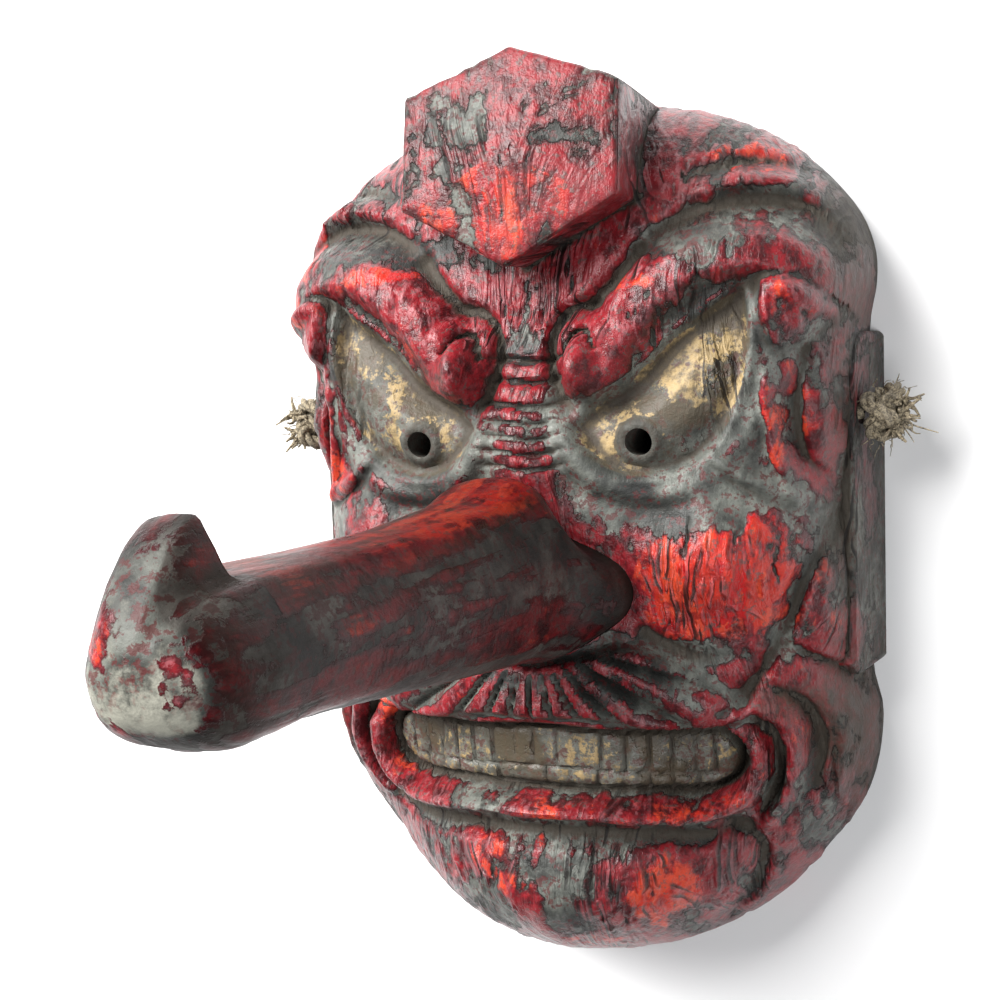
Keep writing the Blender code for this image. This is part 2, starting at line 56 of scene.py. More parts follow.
# %% [markdown]
# ## The camera
#
# The photograph shows the mask face on from a little to the right of it and above, from about half
# a metre. The mask lies on its back here, so the camera hangs over it and looks down. Three turns
# give its direction. A camera in Blender looks along its own -Z, so the turns that carry the world
# into the camera's frame are transposed to give the camera's own rotation.

# %% Set the camera
CAMERA_PLACE = (0.1595, 0.0603, 0.5290)
CAMERA_TURN, CAMERA_NOD, CAMERA_ROLL = radians(21.0), radians(5.49), radians(2.0)
SENSOR = 36.0
FOCAL_SHARE = 1.4            # focal length over the width of the picture

camera = bpy.data.objects.new("camera", bpy.data.cameras.new("camera"))
bpy.context.collection.objects.link(camera)
camera.data.sensor_width = SENSOR
camera.data.lens = SENSOR * FOCAL_SHARE
into_camera = (Matrix.Rotation(CAMERA_ROLL, 3, "Z") @ Matrix.Rotation(CAMERA_NOD, 3, "X")
               @ Matrix.Rotation(-CAMERA_TURN, 3, "Y"))
camera.matrix_world = Matrix.Translation(CAMERA_PLACE) @ into_camera.transposed().to_4x4()
bpy.context.scene.camera = camera

# %% [markdown]
# ## Curves through a few points
#
# A carver follows a drawn line with the gouge. A line here is a handful of points, and a
# Catmull-Rom curve passes through every one of them, so the points stay easy to place and the line
# still comes out smooth. The cord, the features of the face and the nose all use it.

# %% A smooth path


def smooth_path(points, steps=6, closed=False):
    known = [np.array(point, float) for point in points]
    count = len(known)
    spans = count if closed else count - 1
    line = []
    for index in range(spans):
        if closed:
            around = [known[(index + offset) % count] for offset in (-1, 0, 1, 2)]
        else:
            around = [known[min(max(index + offset, 0), count - 1)] for offset in (-1, 0, 1, 2)]
        before, start, end, after = around
        for step in range(steps):
            t = step / steps
            line.append(0.5 * (2 * start + (end - before) * t
                               + (2 * before - 5 * start + 4 * end - after) * t * t
                               + (3 * start - before - 3 * end + after) * t ** 3))
    if not closed:
        line.append(known[-1])
    return np.array(line)


def smooth_step(value):
    held = np.clip(value, 0.0, 1.0)
    return held * held * (3.0 - 2.0 * held)


# %% [markdown]
# ## The cord
#
# One length of hemp ties the mask on. Each end comes out through a hole in an ear and is knotted
# there, and the rest lies slack in the hollow back. A rope shows its lay, so three strands are
# wound round the route as thin curves with a round bevel. The route is the solid's own, point for
# point. The strands' middles run at a distance from the route that keeps the rope its true width.

# %% The cord's route
CORD_DIAMETER = 0.006
CORD_HOLE_UP, CORD_HOLE_HEIGHT = 0.040, 0.028
OUTSIDE_EAR, FIT_GAP = 0.1034, 0.0003
ON_SURFACE = CORD_DIAMETER / 2 + FIT_GAP
CORD_ROUTE = [(OUTSIDE_EAR + FIT_GAP, CORD_HOLE_UP, CORD_HOLE_HEIGHT),
              (0.092, CORD_HOLE_UP, CORD_HOLE_HEIGHT), (0.081, CORD_HOLE_UP - 0.001, 0.0235),
              (0.073, 0.035, 0.0140), (0.069, 0.024, 0.0067), (0.064, 0.008, ON_SURFACE),
              (0.056, -0.016, ON_SURFACE), (0.050, -0.044, ON_SURFACE),
              (0.047, -0.072, ON_SURFACE), (0.036, -0.094, ON_SURFACE),
              (0.016, -0.100, ON_SURFACE), (0.000, -0.090, ON_SURFACE),
              (-0.010, -0.070, ON_SURFACE), (-0.022, -0.052, ON_SURFACE),
              (-0.040, -0.050, ON_SURFACE), (-0.054, -0.038, ON_SURFACE),
              (-0.060, -0.014, ON_SURFACE), (-0.065, 0.008, ON_SURFACE),
              (-0.069, 0.024, 0.0067), (-0.073, 0.035, 0.0140),
              (-0.081, CORD_HOLE_UP - 0.001, 0.0235), (-0.092, CORD_HOLE_UP, CORD_HOLE_HEIGHT),
              (-OUTSIDE_EAR - FIT_GAP, CORD_HOLE_UP, CORD_HOLE_HEIGHT)]
cord_line = smooth_path(CORD_ROUTE, steps=8)


# %% Lay strands round a line


def frames_along(line):
    """Two directions across the line at each of its points, which turn no more than they must."""
    ahead = np.gradient(line, axis=0)
    ahead /= np.linalg.norm(ahead, axis=1)[:, None]
    across = np.cross(ahead[0], (0.3, 0.2, 0.93))
    sides = []
    for direction in ahead:
        across = across - direction * np.dot(across, direction)
        across /= np.linalg.norm(across)
        sides.append((across.copy(), np.cross(direction, across)))
    return sides


def rope_curve(name, line, diameter, strands=3, lay=3.4, loose=()):
    """Strands twisted round a line, and loose fibres: lines that each have their own radii."""
    strand = diameter / (1 + 1 / sin(pi / strands)) * 1.04
    away = diameter / 2 - strand / 2
    sides = frames_along(line)
    run = np.concatenate([[0.0], np.cumsum(np.linalg.norm(np.diff(line, axis=0), axis=1))])
    curve = bpy.data.curves.new(name, "CURVE")
    curve.dimensions = "3D"
    curve.bevel_depth = 1.0
    curve.bevel_resolution = 2
    curve.use_fill_caps = True
    lines = []
    for number in range(strands):
        turn = run / (lay * diameter) * 2 * pi + 2 * pi * number / strands
        lines.append(([point + away * (cos(angle) * side[0] + sin(angle) * side[1])
                       for point, side, angle in zip(line, sides, turn)],
                      [strand / 2] * len(line)))
    for points, radii in lines + list(loose):
        spline = curve.splines.new("POLY")
        spline.points.add(len(points) - 1)
        for place, point, radius in zip(spline.points, points, radii):
            place.co = (*point, 1.0)
            place.radius = radius
        spline.use_smooth = True
    return curve


def curve_to_piece(name, curve):
    """A mesh made from a curve, so that the piece exports as it stands."""
    holder = bpy.data.objects.new(name + "_curve", curve)
    bpy.context.collection.objects.link(holder)
    mesh = bpy.data.meshes.new_from_object(holder.evaluated_get(
        bpy.context.evaluated_depsgraph_get()))
    bpy.data.objects.remove(holder, do_unlink=True)
    mesh.name = name
    mesh.materials.clear()
    piece = bpy.data.objects.new(name, mesh)
    bpy.context.collection.objects.link(piece)
    mesh.shade_smooth()
    return piece


cord = curve_to_piece("hemp_cord", rope_curve("cord", cord_line, CORD_DIAMETER))
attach(cord, "root")
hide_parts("cord")
print("Cord faces:", len(cord.data.polygons))

# %% [markdown]
# ## The knots
#
# Outside each ear the cord is tied in an overhand knot, and the ends have frayed into loose fibres.
# An overhand knot closed on itself is a trefoil, a curve with a short formula, so one makes the
# lump and a smaller one fills its middle. Each frayed end is a few thick bundles and as many fine
# fibres, all of which leave the knot together, thin out, spread and bend over.

# %% Tie a knot
KNOT_REACH = 0.0062          # scale of the trefoil
KNOT_ROPE, KNOT_FILLING = 0.0056, 0.0052     # diameters of its outer and inner rope
TAIL_START = 0.0065          # from the middle of the knot
BUNDLE, FIBRE, HAIR = 0.0008, 0.0003, 0.00016     # half widths of what has frayed
HAIRS, HAIR_LENGTH = 36, 0.003
KNOT_STEPS = 96
TAILS = ((0.6, -0.8, 0.30, 0.004), (0.9, 0.35, 0.35, 0.0045), (0.5, 0.55, 0.75, 0.003),
         (-0.1, 0.9, 0.5, 0.003), (0.9, -0.4, 0.6, 0.0055))


def trefoil(middle, out, up, size, turn):
    """The line of a knot, turned so that it lies flat against what it is pulled up to."""
    out, up = Vector(out).normalized(), Vector(up).normalized()
    side = up.cross(out)
    points = []
    for step in range(KNOT_STEPS + 1):
        t = 2 * pi * step / KNOT_STEPS
        across, along = sin(t) + 2 * sin(2 * t), cos(t) - 2 * cos(2 * t)
        across, along = (across * cos(turn) - along * sin(turn),
                         across * sin(turn) + along * cos(turn))
        point = Vector(middle) + size * (0.46 * across * side + 0.46 * along * up
                                         - 0.72 * sin(3 * t) * out)
        points.append(np.array(point))
    return np.array(points)


def frayed(start, out, length, thick, count, choice):
    """Loose bundles of fibre that leave the knot together, spread, thin out and bend over."""
    bundles = []
    for _ in range(count):
        heading = (Vector(out).normalized() + Vector(choice.normal(0, 0.30, 3))).normalized()
        place = Vector(start) + 0.0012 * Vector(choice.normal(0, 1, 3))
        reach = length * choice.uniform(0.5, 1.0)
        curl, twist = Vector(choice.normal(0, 0.7, 3)), Vector(choice.normal(0, 0.12, 3))
        steps = [share / 10 for share in range(11)]
        points = [np.array(place + reach * (heading * t + (curl + Vector((0, -0.5, 0))) * t * t
                                            + twist * sin(7 * t))) for t in steps]
        radius = thick * choice.uniform(0.7, 1.2)
        bundles.append((points, [radius * (1 - 0.5 * t ** 3) for t in steps]))
    return bundles


def tie_knot(name, side, node, seed):
    low, high = (Vector(corner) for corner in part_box(node))
    middle = (low + high) / 2 - Vector((0.0008 * side, 0, 0))
    choice = np.random.default_rng(seed)
    out, up = (side, 0.0, 0.2), (0.0, 1.0, 0.0)
    line = trefoil(middle, out, up, KNOT_REACH, 0.4)
    loose = []
    for across, along, lift, length in TAILS:
        heading = Vector((across * side, along, lift))
        start = middle + TAIL_START * heading.normalized()
        loose += frayed(start, heading, length, BUNDLE, 8, choice)
        loose += frayed(start, heading, length, FIBRE, 7, choice)
    for _ in range(HAIRS):
        base = Vector(line[choice.integers(0, KNOT_STEPS)])
        away = (base - middle).normalized()
        loose += frayed(base + away * KNOT_FILLING / 2, away, HAIR_LENGTH, HAIR, 1, choice)
    curve = rope_curve(name, line, KNOT_ROPE, lay=2.6, loose=loose)
    inner = rope_curve(name + "_inside", trefoil(middle, out, up, 0.52 * KNOT_REACH, 1.5),
                       KNOT_FILLING)
    knot = curve_to_piece(name, curve)
    core = curve_to_piece(name + "_inside", inner)
    shape = bmesh.new()
    shape.from_mesh(knot.data)
    shape.from_mesh(core.data)
    shape.to_mesh(knot.data)
    shape.free()
    bpy.data.objects.remove(core, do_unlink=True)
    knot.data.shade_smooth()
    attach(knot, "root")
    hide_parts(node)
    return knot


knot_right = tie_knot("hemp_knot_right", 1, "cord_knot_right", 11)
knot_left = tie_knot("hemp_knot_left", -1, "cord_knot_left", 71)
print("Knot faces:", len(knot_right.data.polygons))

# %% [markdown]
# ## How the face is carved
#
# The face is a relief over a rounded block. Three cuts are enough for all of it: a gouge that runs
# along a path and leaves a groove or a ridge, a patch that raises or sinks an outlined area, and a
# round swelling. Each gives a height for every point of the face, and the heights add up. The unit
# is a share of the face's height, a millimetre on this mask. The zero lies between the eyes and
# the nose, 6 units above the solid's middle, with x to the viewer's right and y up the face.

# %% The carver's three cuts
CARVING_SHARES = 326
UNIT = (face_high.y - face_low.y) / CARVING_SHARES
MIDDLE_UP = 6
RIM = [(0, 148), (33, 146), (59, 139), (81, 127), (98, 109), (105, 94), (106, 80), (103, 60),
       (101, 0), (103, -57), (107, -80), (102, -108), (87, -131), (71, -148), (51, -160),
       (28, -167), (0, -169)]
DOME = 88
BOXINESS = [(0, 2.8), (20, 3.2), (50, 3.3), (75, 2.9), (110, 2.5), (132, 2.05), (150, 2.1),
            (165, 2.8), (180, 3.3)]


def near_line(x, y, line):
    """Distance to a line, how far along it the nearest point is (0 to 1), and the side."""
    nearest = np.full(x.shape, 1e9)
    along = np.zeros(x.shape)
    side = np.zeros(x.shape)
    lengths = np.hypot(*(line[1:] - line[:-1]).T)
    total = lengths.sum()
    run = 0.0
    for start, end, length in zip(line[:-1], line[1:], lengths):
        dx, dy = (end - start) / max(length, 1e-9)
        share = np.clip((x - start[0]) * dx + (y - start[1]) * dy, 0.0, length)
        off_x = x - start[0] - share * dx
        off_y = y - start[1] - share * dy
        distance = np.hypot(off_x, off_y)
        closer = distance < nearest
        nearest = np.where(closer, distance, nearest)
        along = np.where(closer, (run + share) / total, along)
        side = np.where(closer, np.sign(dx * off_y - dy * off_x), side)
        run += length
    return nearest, along, side


def gouge(x, y, points, width, heights, left=None, flat=0.0):
    """A ridge (positive) or a gouge mark (negative) along a smooth path.

    width is the half width right of the path, and left the one left of it, seen along the path.
    """
    line = smooth_path(points)
    reach_most = max(width, left or 0) + 1
    near = ((x > line[:, 0].min() - reach_most) & (x < line[:, 0].max() + reach_most)
            & (y > line[:, 1].min() - reach_most) & (y < line[:, 1].max() + reach_most))
    out = np.zeros(x.shape)
    distance, along, side = near_line(x[near], y[near], line)
    reach = np.where(side > 0, width if left is None else left, width)
    profile = smooth_step((reach - distance) / (reach * (1.0 - flat)))
    out[near] = profile * np.interp(along, np.linspace(0, 1, len(heights)), heights)
    return out


def patch(x, y, points, bank, height=1):
    """The height inside a closed smooth outline, falling to 0 at its edge over its bank."""
    line = smooth_path(points, closed=True)
    loop = np.vstack([line, line[:1]])
    near = ((x > line[:, 0].min()) & (x < line[:, 0].max())
            & (y > line[:, 1].min()) & (y < line[:, 1].max()))
    px, py = x[near], y[near]
    distance = near_line(px, py, loop)[0]
    inside = np.zeros(px.shape, bool)
    for start, end in zip(loop[:-1], loop[1:]):
        crosses = (start[1] > py) != (end[1] > py)
        drop = end[1] - start[1] if abs(end[1] - start[1]) > 1e-9 else 1e-9
        inside ^= crosses & (px < start[0] + (py - start[1]) * (end[0] - start[0]) / drop)
    out = np.zeros(x.shape)
    out[near] = np.where(inside, smooth_step(distance / bank), 0.0) * height
    return out


def swelling(x, y, middle, radii, height, turn=0.0):
    tilt = radians(turn)
    dx, dy = x - middle[0], y - middle[1]
    across = (dx * cos(tilt) + dy * sin(tilt)) / radii[0]
    up = (dy * cos(tilt) - dx * sin(tilt)) / radii[1]
    return height * smooth_step(1.0 - np.hypot(across, up))


# %% The rounded block


def rim_radius(x, y):
    half = smooth_path(RIM, steps=4)
    angles = np.arctan2(half[:, 0], half[:, 1])
    return np.interp(np.arctan2(np.abs(x), y), angles, np.hypot(half[:, 0], half[:, 1]))


def dome(x, y):
    share = np.clip(np.hypot(x, y) / rim_radius(x, y), 0.0, 1.0)
    directions, powers = zip(*BOXINESS)
    power = np.interp(np.degrees(np.arctan2(np.abs(x), y)), directions, powers)
    return DOME * (1.0 - share ** power) ** (1.0 / power)


# %% [markdown]
# ## Brow, eyes and bridge
#
# The heavy brow rolls into a curl over the nose and ends in a leaf that hangs by the temple. Under
# it the eye is a long sloping ball in a sunk socket, with a raised lid and a drilled pupil. Fine
# folds cross the bridge. Each feature is a short table of cuts, in the order a carver makes them:
# sink the ground first, then raise what stands in it. A cut's numbers follow the order of its
# function's arguments.

# %% Carve the upper face
PUPIL = (39, 28)
EYE_HOLE_DIAMETER, EYE_RING_WIDTH, EYE_RING_HEIGHT = 0.009, 0.003, 1.5
FOREHEAD = [
    (gouge, [(38, 92), (50, 100), (64, 105), (80, 105), (92, 101), (99, 92)], 6,
     (-2, -5, -6, -5, -3)),
    (gouge, [(60, 109), (72, 112), (84, 111), (95, 103), (102, 90)], 7, (2, 5, 6, 4, 2)),
    (gouge, [(54, 115), (70, 119), (86, 116), (94, 110)], 5, (-2, -4, -4, -1))]
BROW = [
    (gouge, [(25, 51), (33, 64), (45, 76), (58, 85), (71, 88), (84, 86), (93, 78)], 12,
     (8, 9, 10, 11, 11, 10, 7), 14, 0.25),
    (gouge, [(14, 68), (26, 76), (38, 90)], 5, (-2, -5, -4)),
    (swelling, (20, 54), (10, 16), 9, 8),
    (gouge, [(31, 68), (25, 73), (17, 73), (11, 67), (9, 56), (12, 45), (17, 38)], 3.5,
     (-2, -3, -4, -5, -4, -2)),
    (gouge, [(26, 59), (23, 64), (18, 64), (16, 58), (17, 51)], 2.4, (-4, -5, -5, -4, -1)),
    (patch, [(76, 79), (88, 80), (99, 71), (95, 62), (84, 54), (77, 62)], 5, 8)]
EYE = [
    (patch, [(15, 33), (24, 19), (39, 14), (56, 18), (67, 29), (74, 46), (76, 64), (73, 78),
             (62, 73), (47, 62), (36, 50), (24, 43)], 6, -8),
    (gouge, [(24, 28), (39, 30), (54, 40), (64, 53), (70, 66)], 19, (6, 9, 9, 7, 4), 20, 0.1),
    (gouge, [(12, 36), (20, 18), (38, 10), (58, 14), (71, 27), (79, 46)], 5,
     (1.5, 1.8, 1.6, 1.8, 2))]
BRIDGE_FOLDS = ((56, 3), (49, 3), (41, 3), (35.5, 2), (30.5, 2), (25.5, 2), (20.5, 2))
BRIDGE = [(swelling, (0, 26), (20, 42), 9)] + [
    (gouge, [(-15, level + 1), (-5, level), (5, level - 1), (15, level + 1)], 0.6 * depth + 0.4,
     (-depth * 0.6, -depth, -depth, -depth * 0.6)) for level, depth in BRIDGE_FOLDS]


def carve(x, y, cuts):
    """A feature's cuts added up: each is a kind of cut, followed by its own numbers."""
    relief = np.zeros(x.shape)
    for cut, *numbers in cuts:
        relief += cut(x, y, *numbers)
    return relief


def pupil_ring(x, y):
    distance = np.hypot(x - PUPIL[0], y - PUPIL[1])
    middle = (EYE_HOLE_DIAMETER + EYE_RING_WIDTH) / (2 * UNIT)
    return EYE_RING_HEIGHT * smooth_step(
        1.0 - np.abs(distance - middle) / (EYE_RING_WIDTH / UNIT))


# %% [markdown]
# ## Cheeks, moustache, mouth and chin
#
# The cheek is one big swelling, parted from the side of the head by one long crease and from the
# moustache by a shallow one. The moustache is a fan: a ripple in the angle round a point under the
# nose gives all its strands at once. The mouth is sunk, the teeth are raised in it and then parted
# by thin grooves, and the smile runs out in two ridges with a groove on the inner side of each.

# %% Carve the lower face
FAN_UP = -34
STRAND_ANGLE = radians(14)
UPPER_GAPS = (4, 12, 20, 28, 36, 43.5, 50.5, 57, 62.5)
LOWER_GAPS = (0, 9, 18, 27, 35.5, 43.5, 51, 58)
CHEEK = [
    (swelling, (65, -12), (36, 30), 10),
    (gouge, [(60, 24), (72, 15), (87, 8)], 4, (1, 3, 2)),
    (gouge, [(62, 18), (74, 9), (88, 2)], 3, (-1, -2, -2)),
    (gouge, [(99, 2), (91, -12), (84, -28), (79, -41), (70, -56), (60, -68)], 5.5,
     (-3, -5, -6, -6, -6, -5)),
    (gouge, [(38, -36), (50, -43), (62, -46), (72, -46)], 5, (-3, -3, -2, -1)),
    (swelling, (44, 3), (20, 13), -3, -15)]
MOUTH_OPENING = [
    (patch, [(-14, -69), (30, -69), (56, -69), (65, -72), (69, -79), (69, -87), (63, -95),
             (52, -98), (30, -96), (-14, -94)], 4, -13)]
LIPS = [
    (gouge, [(-10, -98), (12, -98), (34, -100), (52, -101.5), (64, -98.5), (71, -90), (72, -78)],
     4.5, (8, 8, 8, 8, 8, 7, 4), None, 0.1),
    (gouge, [(-10, -107), (12, -107), (36, -109), (54, -111), (68, -107)], 6,
     (-5, -5, -5, -5, -3))]
SMILE = [
    (gouge, [(71, -68), (77, -78), (77, -91), (71, -103)], 4, (-4, -7, -7, -3)),
    (gouge, [(71, -65), (79, -68), (83.5, -79), (82, -92), (74, -106)], 4.5, (2, 5, 7, 6, 3),
     None, 0.1),
    (gouge, [(76, -57), (86, -65), (90, -79), (88, -95)], 4, (-3, -6, -6, -3)),
    (gouge, [(84, -54), (95, -66), (98, -84), (94, -102)], 5, (1, 4, 5, 2))]
CHIN = [
    (swelling, (0, -133), (66, 44), 17),
    (gouge, [(60, -106), (68, -116), (66, -132), (55, -149)], 6, (-3, -6, -6, -3))]
BESIDE_EYE = [
    (gouge, [(81, 60), (79, 43), (80, 27), (84, 13), (88, 0)], 3.5, (1, 3, 4, 3, 1)),
    (gouge, [(89, 56), (85.5, 38), (88, 20), (97, 9)], 4, (-3, -5, -5, -3)),
    (swelling, (95, 34), (8, 21), 8),
    (swelling, (96, -30), (13, 32), 8),
    (gouge, [(82, -44), (93, -52), (104, -62)], 4, (-3, -4.5, -4.5))]


def moustache(x, y):
    area = patch(x, y, [(-12, -50), (14, -43), (32, -39), (48, -45), (62, -56), (70, -66),
                        (58, -72), (38, -71), (20, -67), (-12, -66)], 4)
    fan = np.arctan2(np.abs(x), FAN_UP - y)
    reach = np.hypot(x, y - FAN_UP)
    strands = 1 - 2 * (1 - np.abs(np.sin(fan * pi / STRAND_ANGLE))) ** 2
    fine = np.cos(fan * 4 * pi / STRAND_ANGLE + 0.12 * reach)
    weight = np.clip((reach - 14) / 14, 0.0, 1.0)
    return area * (4.5 + 2.8 * strands * weight + 0.35 * fine * weight)


def mouth(x, y):
    teeth = patch(x, y, [(-14, -71), (30, -71), (54, -71), (61, -73), (65, -79), (65, -86),
                         (60, -92.5), (52, -95), (36, -94), (-14, -91)], 3)
    parting = -85 - 0.07 * x
    gaps = smooth_step(1.0 - np.abs(y - parting) / 1.2)
    for places, row in ((UPPER_GAPS, y > parting), (LOWER_GAPS, y < parting)):
        for place in places:
            gaps = np.maximum(gaps, row * smooth_step(1.0 - np.abs(x - place) / 1.1))
    return carve(x, y, MOUTH_OPENING) + teeth * (6 - 1.1 * gaps) + carve(x, y, LIPS)


# %% [markdown]
# ## Splits in the wood
#
# Old cypress splits along its grain, and the grain runs up the face. Short upright splits are cut
# as thin gouges with a wandering path. Their places are drawn from a seeded generator inside the
# areas where the photograph shows them, so every run gives the same mask.

# %% Split the wood
SPLIT_AREAS = [((-38, 38), (-152, -118), 15), ((-45, 45), (66, 84), 13), ((52, 82), (-30, 0), 4),
               ((-84, -50), (-24, 0), 3), ((-95, -62), (86, 118), 6), ((50, 90), (112, 130), 6),
               ((28, 62), (60, 92), 7), ((-66, -30), (62, 92), 7), ((-40, 46), (-112, -104), 9)]


def splits(x, y):
    choice = np.random.default_rng(5)
    relief = np.zeros(x.shape)
    for (left, right), (low, high), count in SPLIT_AREAS:
        for number in range(count):
            px = left + (right - left) * (number + choice.uniform(0.1, 0.9)) / count
            py = choice.uniform(low, high)
            length = choice.uniform(7, 20)
            path = [(px + choice.normal(0, 0.9), py + length * (share - 0.5))
                    for share in (0, 0.3, 0.6, 1)]
            depth = choice.uniform(0.5, 1.3)
            relief += gouge(x, y, path, choice.uniform(0.9, 1.5), (-0.2, -depth, -depth, -0.2))
    return relief


def face_surface(x, y):
    """Height of the carved face over the rim, in units, with x to the viewer's right.

    The bridge's folds, the crease by the chin and the splits differ from left to right.
    """
    side = np.abs(x)
    block = dome(x, y)
    relief = (carve(side, y, FOREHEAD) + carve(side, y, BROW)
              + (carve(side, y, EYE) + pupil_ring(side, y)) + carve(x, y, BRIDGE)
              + carve(side, y, CHEEK) + moustache(side, y) + mouth(side, y)
              + carve(side, y, SMILE) + carve(x, y, CHIN) + carve(side, y, BESIDE_EYE)
              + splits(x, y))
    return block + relief * smooth_step((block - 6) / 30)


# %% [markdown]
# ## From a grid to a carved block
#
# A square grid is stretched over the mask's outline, closer together near the steep rim, and each
# point is raised to the carved height. The boundary is then extruded down and filled, which closes
# the block. The same function makes the rounded core that hollows the back, only smaller.

# %% Raise a block from a grid
FACE_GRID = (250, 330)
HIDDEN_DROP = 5


def disc_places(across, along):
    u = across * np.sqrt(1.0 - along * along / 2)
    v = along * np.sqrt(1.0 - across * across / 2)
    out = np.clip(np.hypot(u, v), 0.0, 1.0)
    spread = np.where(out < 0.8, 1.1 * out, 1 - 0.1 * (1 - out) - 2.5 * (1 - out) ** 2)
    angle = np.arctan2(u, v)
    x, y = np.sin(angle), np.cos(angle)
    radius = rim_radius(x, y) * spread
    return x * radius, y * radius


def new_object(name, shape):
    mesh = bpy.data.meshes.new(name)
    shape.to_mesh(mesh)
    shape.free()
    made = bpy.data.objects.new(name, mesh)
    bpy.context.collection.objects.link(made)
    return made


def raised_block(name, surface, across, along, drop, place=disc_places):
    shape = bmesh.new()
    bmesh.ops.create_grid(shape, x_segments=across, y_segments=along, size=1.0)
    flat = np.array([vertex.co[:2] for vertex in shape.verts])
    x, y = place(flat[:, 0], flat[:, 1])
    height = surface(x, y)
    for vertex, px, py, pz in zip(shape.verts, x, y, height):
        vertex.co = Vector((px, py + MIDDLE_UP, pz)) * UNIT
    edges = [edge for edge in shape.edges if edge.is_boundary]
    skirt = bmesh.ops.extrude_edge_only(shape, edges=edges)["geom"]
    for item in skirt:
        if isinstance(item, bmesh.types.BMVert):
            item.co.z = -drop * UNIT
    bottom = [item for item in skirt if isinstance(item, bmesh.types.BMEdge) and item.is_boundary]
    bmesh.ops.edgeloop_fill(shape, edges=bottom)
    bmesh.ops.recalc_face_normals(shape, faces=shape.faces)
    return new_object(name, shape)


face = raised_block("carved_face", face_surface, *FACE_GRID, HIDDEN_DROP)
print("Face block:", len(face.data.vertices), "vertices")

# %% [markdown]
# ## Cap, ears and cutters
#
# The cap and the ears are simple solids with a worn edge. Each is lofted from a few rings,
# bevelled and cut finer. The hollow, the eye holes, the cord holes and the seat for the nose are
# cut. All that is added is one Boolean union, and all that is cut is one difference, since each
# Boolean on a fine mesh takes seconds.

# %% Loft, join and cut


def lofted(name, rings, bevel=0.0, cuts=0):
    shape = bmesh.new()
    loops = []
    for ring in rings:
        loops.append([shape.verts.new(point) for point in ring])
    bmesh.ops.contextual_create(shape, geom=loops[0])
    bmesh.ops.contextual_create(shape, geom=loops[-1])
    for loop in loops:
        for start, end in zip(loop, loop[1:] + loop[:1]):
            if not shape.edges.get((start, end)):
                shape.edges.new((start, end))
    for low, high in zip(loops[:-1], loops[1:]):
        edges = [shape.edges.get(pair) for loop in (low, high)
                 for pair in zip(loop, loop[1:] + loop[:1])]
        bmesh.ops.bridge_loops(shape, edges=edges)
    bmesh.ops.recalc_face_normals(shape, faces=shape.faces)
    if bevel:
        sharp = [edge for edge in shape.edges if edge.calc_face_angle(0.0) > radians(20)]
        bmesh.ops.bevel(shape, geom=sharp, offset=bevel, affect="EDGES", segments=2,
                        profile=0.5, material=-1)
    if cuts:
        bmesh.ops.triangulate(shape, faces=[face for face in shape.faces if len(face.verts) > 4])
        bmesh.ops.subdivide_edges(shape, edges=shape.edges, cuts=cuts, use_grid_fill=True)
    return new_object(name, shape)


def rod(name, start, end, radius, sides=40):
    direction = Vector(end) - Vector(start)
    shape = bmesh.new()
    turn = direction.to_track_quat("Z", "Y").to_matrix().to_4x4()
    bmesh.ops.create_cone(shape, cap_ends=True, segments=sides, radius1=radius, radius2=radius,
                          depth=direction.length,
                          matrix=Matrix.Translation((Vector(start) + Vector(end)) / 2) @ turn)
    return new_object(name, shape)


def join(pieces, name):
    """Several separate bodies as one object."""
    shape = bmesh.new()
    for piece in pieces:
        shape.from_mesh(piece.data)
        bpy.data.objects.remove(piece, do_unlink=True)
    return new_object(name, shape)


def boolean(target, other, operation):
    """Add or cut another body, and keep the result in the target's own mesh."""
    change = target.modifiers.new(operation, "BOOLEAN")
    change.operation = operation
    change.solver = "EXACT"
    change.object = other
    mesh = bpy.data.meshes.new_from_object(target.evaluated_get(
        bpy.context.evaluated_depsgraph_get()))
    target.modifiers.clear()
    target.data = mesh
    bpy.data.objects.remove(other, do_unlink=True)


# %% The forehead cap
WORN_EDGE = 0.0015           # depth of the worn band round a front face
CAP_WIDTH, CAP_LENGTH, CAP_RISE, CAP_POINT = 0.074, 0.071, 0.097, 0.006
CAP_MIDDLE, CAP_TILT = (121.5 + MIDDLE_UP) * UNIT, 0.15


def forehead_cap():
    half_width, half_length = CAP_WIDTH / 2, CAP_LENGTH / 2
    upper, lower = 0.31 * CAP_LENGTH, -0.21 * CAP_LENGTH
    corners = [(0, half_length), (-half_width, upper), (-half_width, lower),
               (0, -half_length), (half_width, lower), (half_width, upper)]

    def ring(scale, rise):
        return [(px * scale, CAP_MIDDLE + py * scale, rise - CAP_TILT * py * scale)
                for px, py in corners]

    root = [(px * 0.96, CAP_MIDDLE + min(py * 0.96, half_length - 9 * UNIT), 0.3 * CAP_RISE)
            for px, py in corners]
    return lofted("cap", [root, ring(1.0, CAP_RISE - WORN_EDGE), ring(0.985, CAP_RISE),
                          ring(0.12, CAP_RISE + CAP_POINT)], bevel=0.0008, cuts=11)


# %% The ears
EAR_LENGTH, EAR_DEPTH, EAR_PROUD = 0.121, 0.037, 0.008
EAR_MIDDLE, EAR_LEAN, SIDE_OF_HEAD = (1.5 + MIDDLE_UP) * UNIT, 0.2, 101 * UNIT


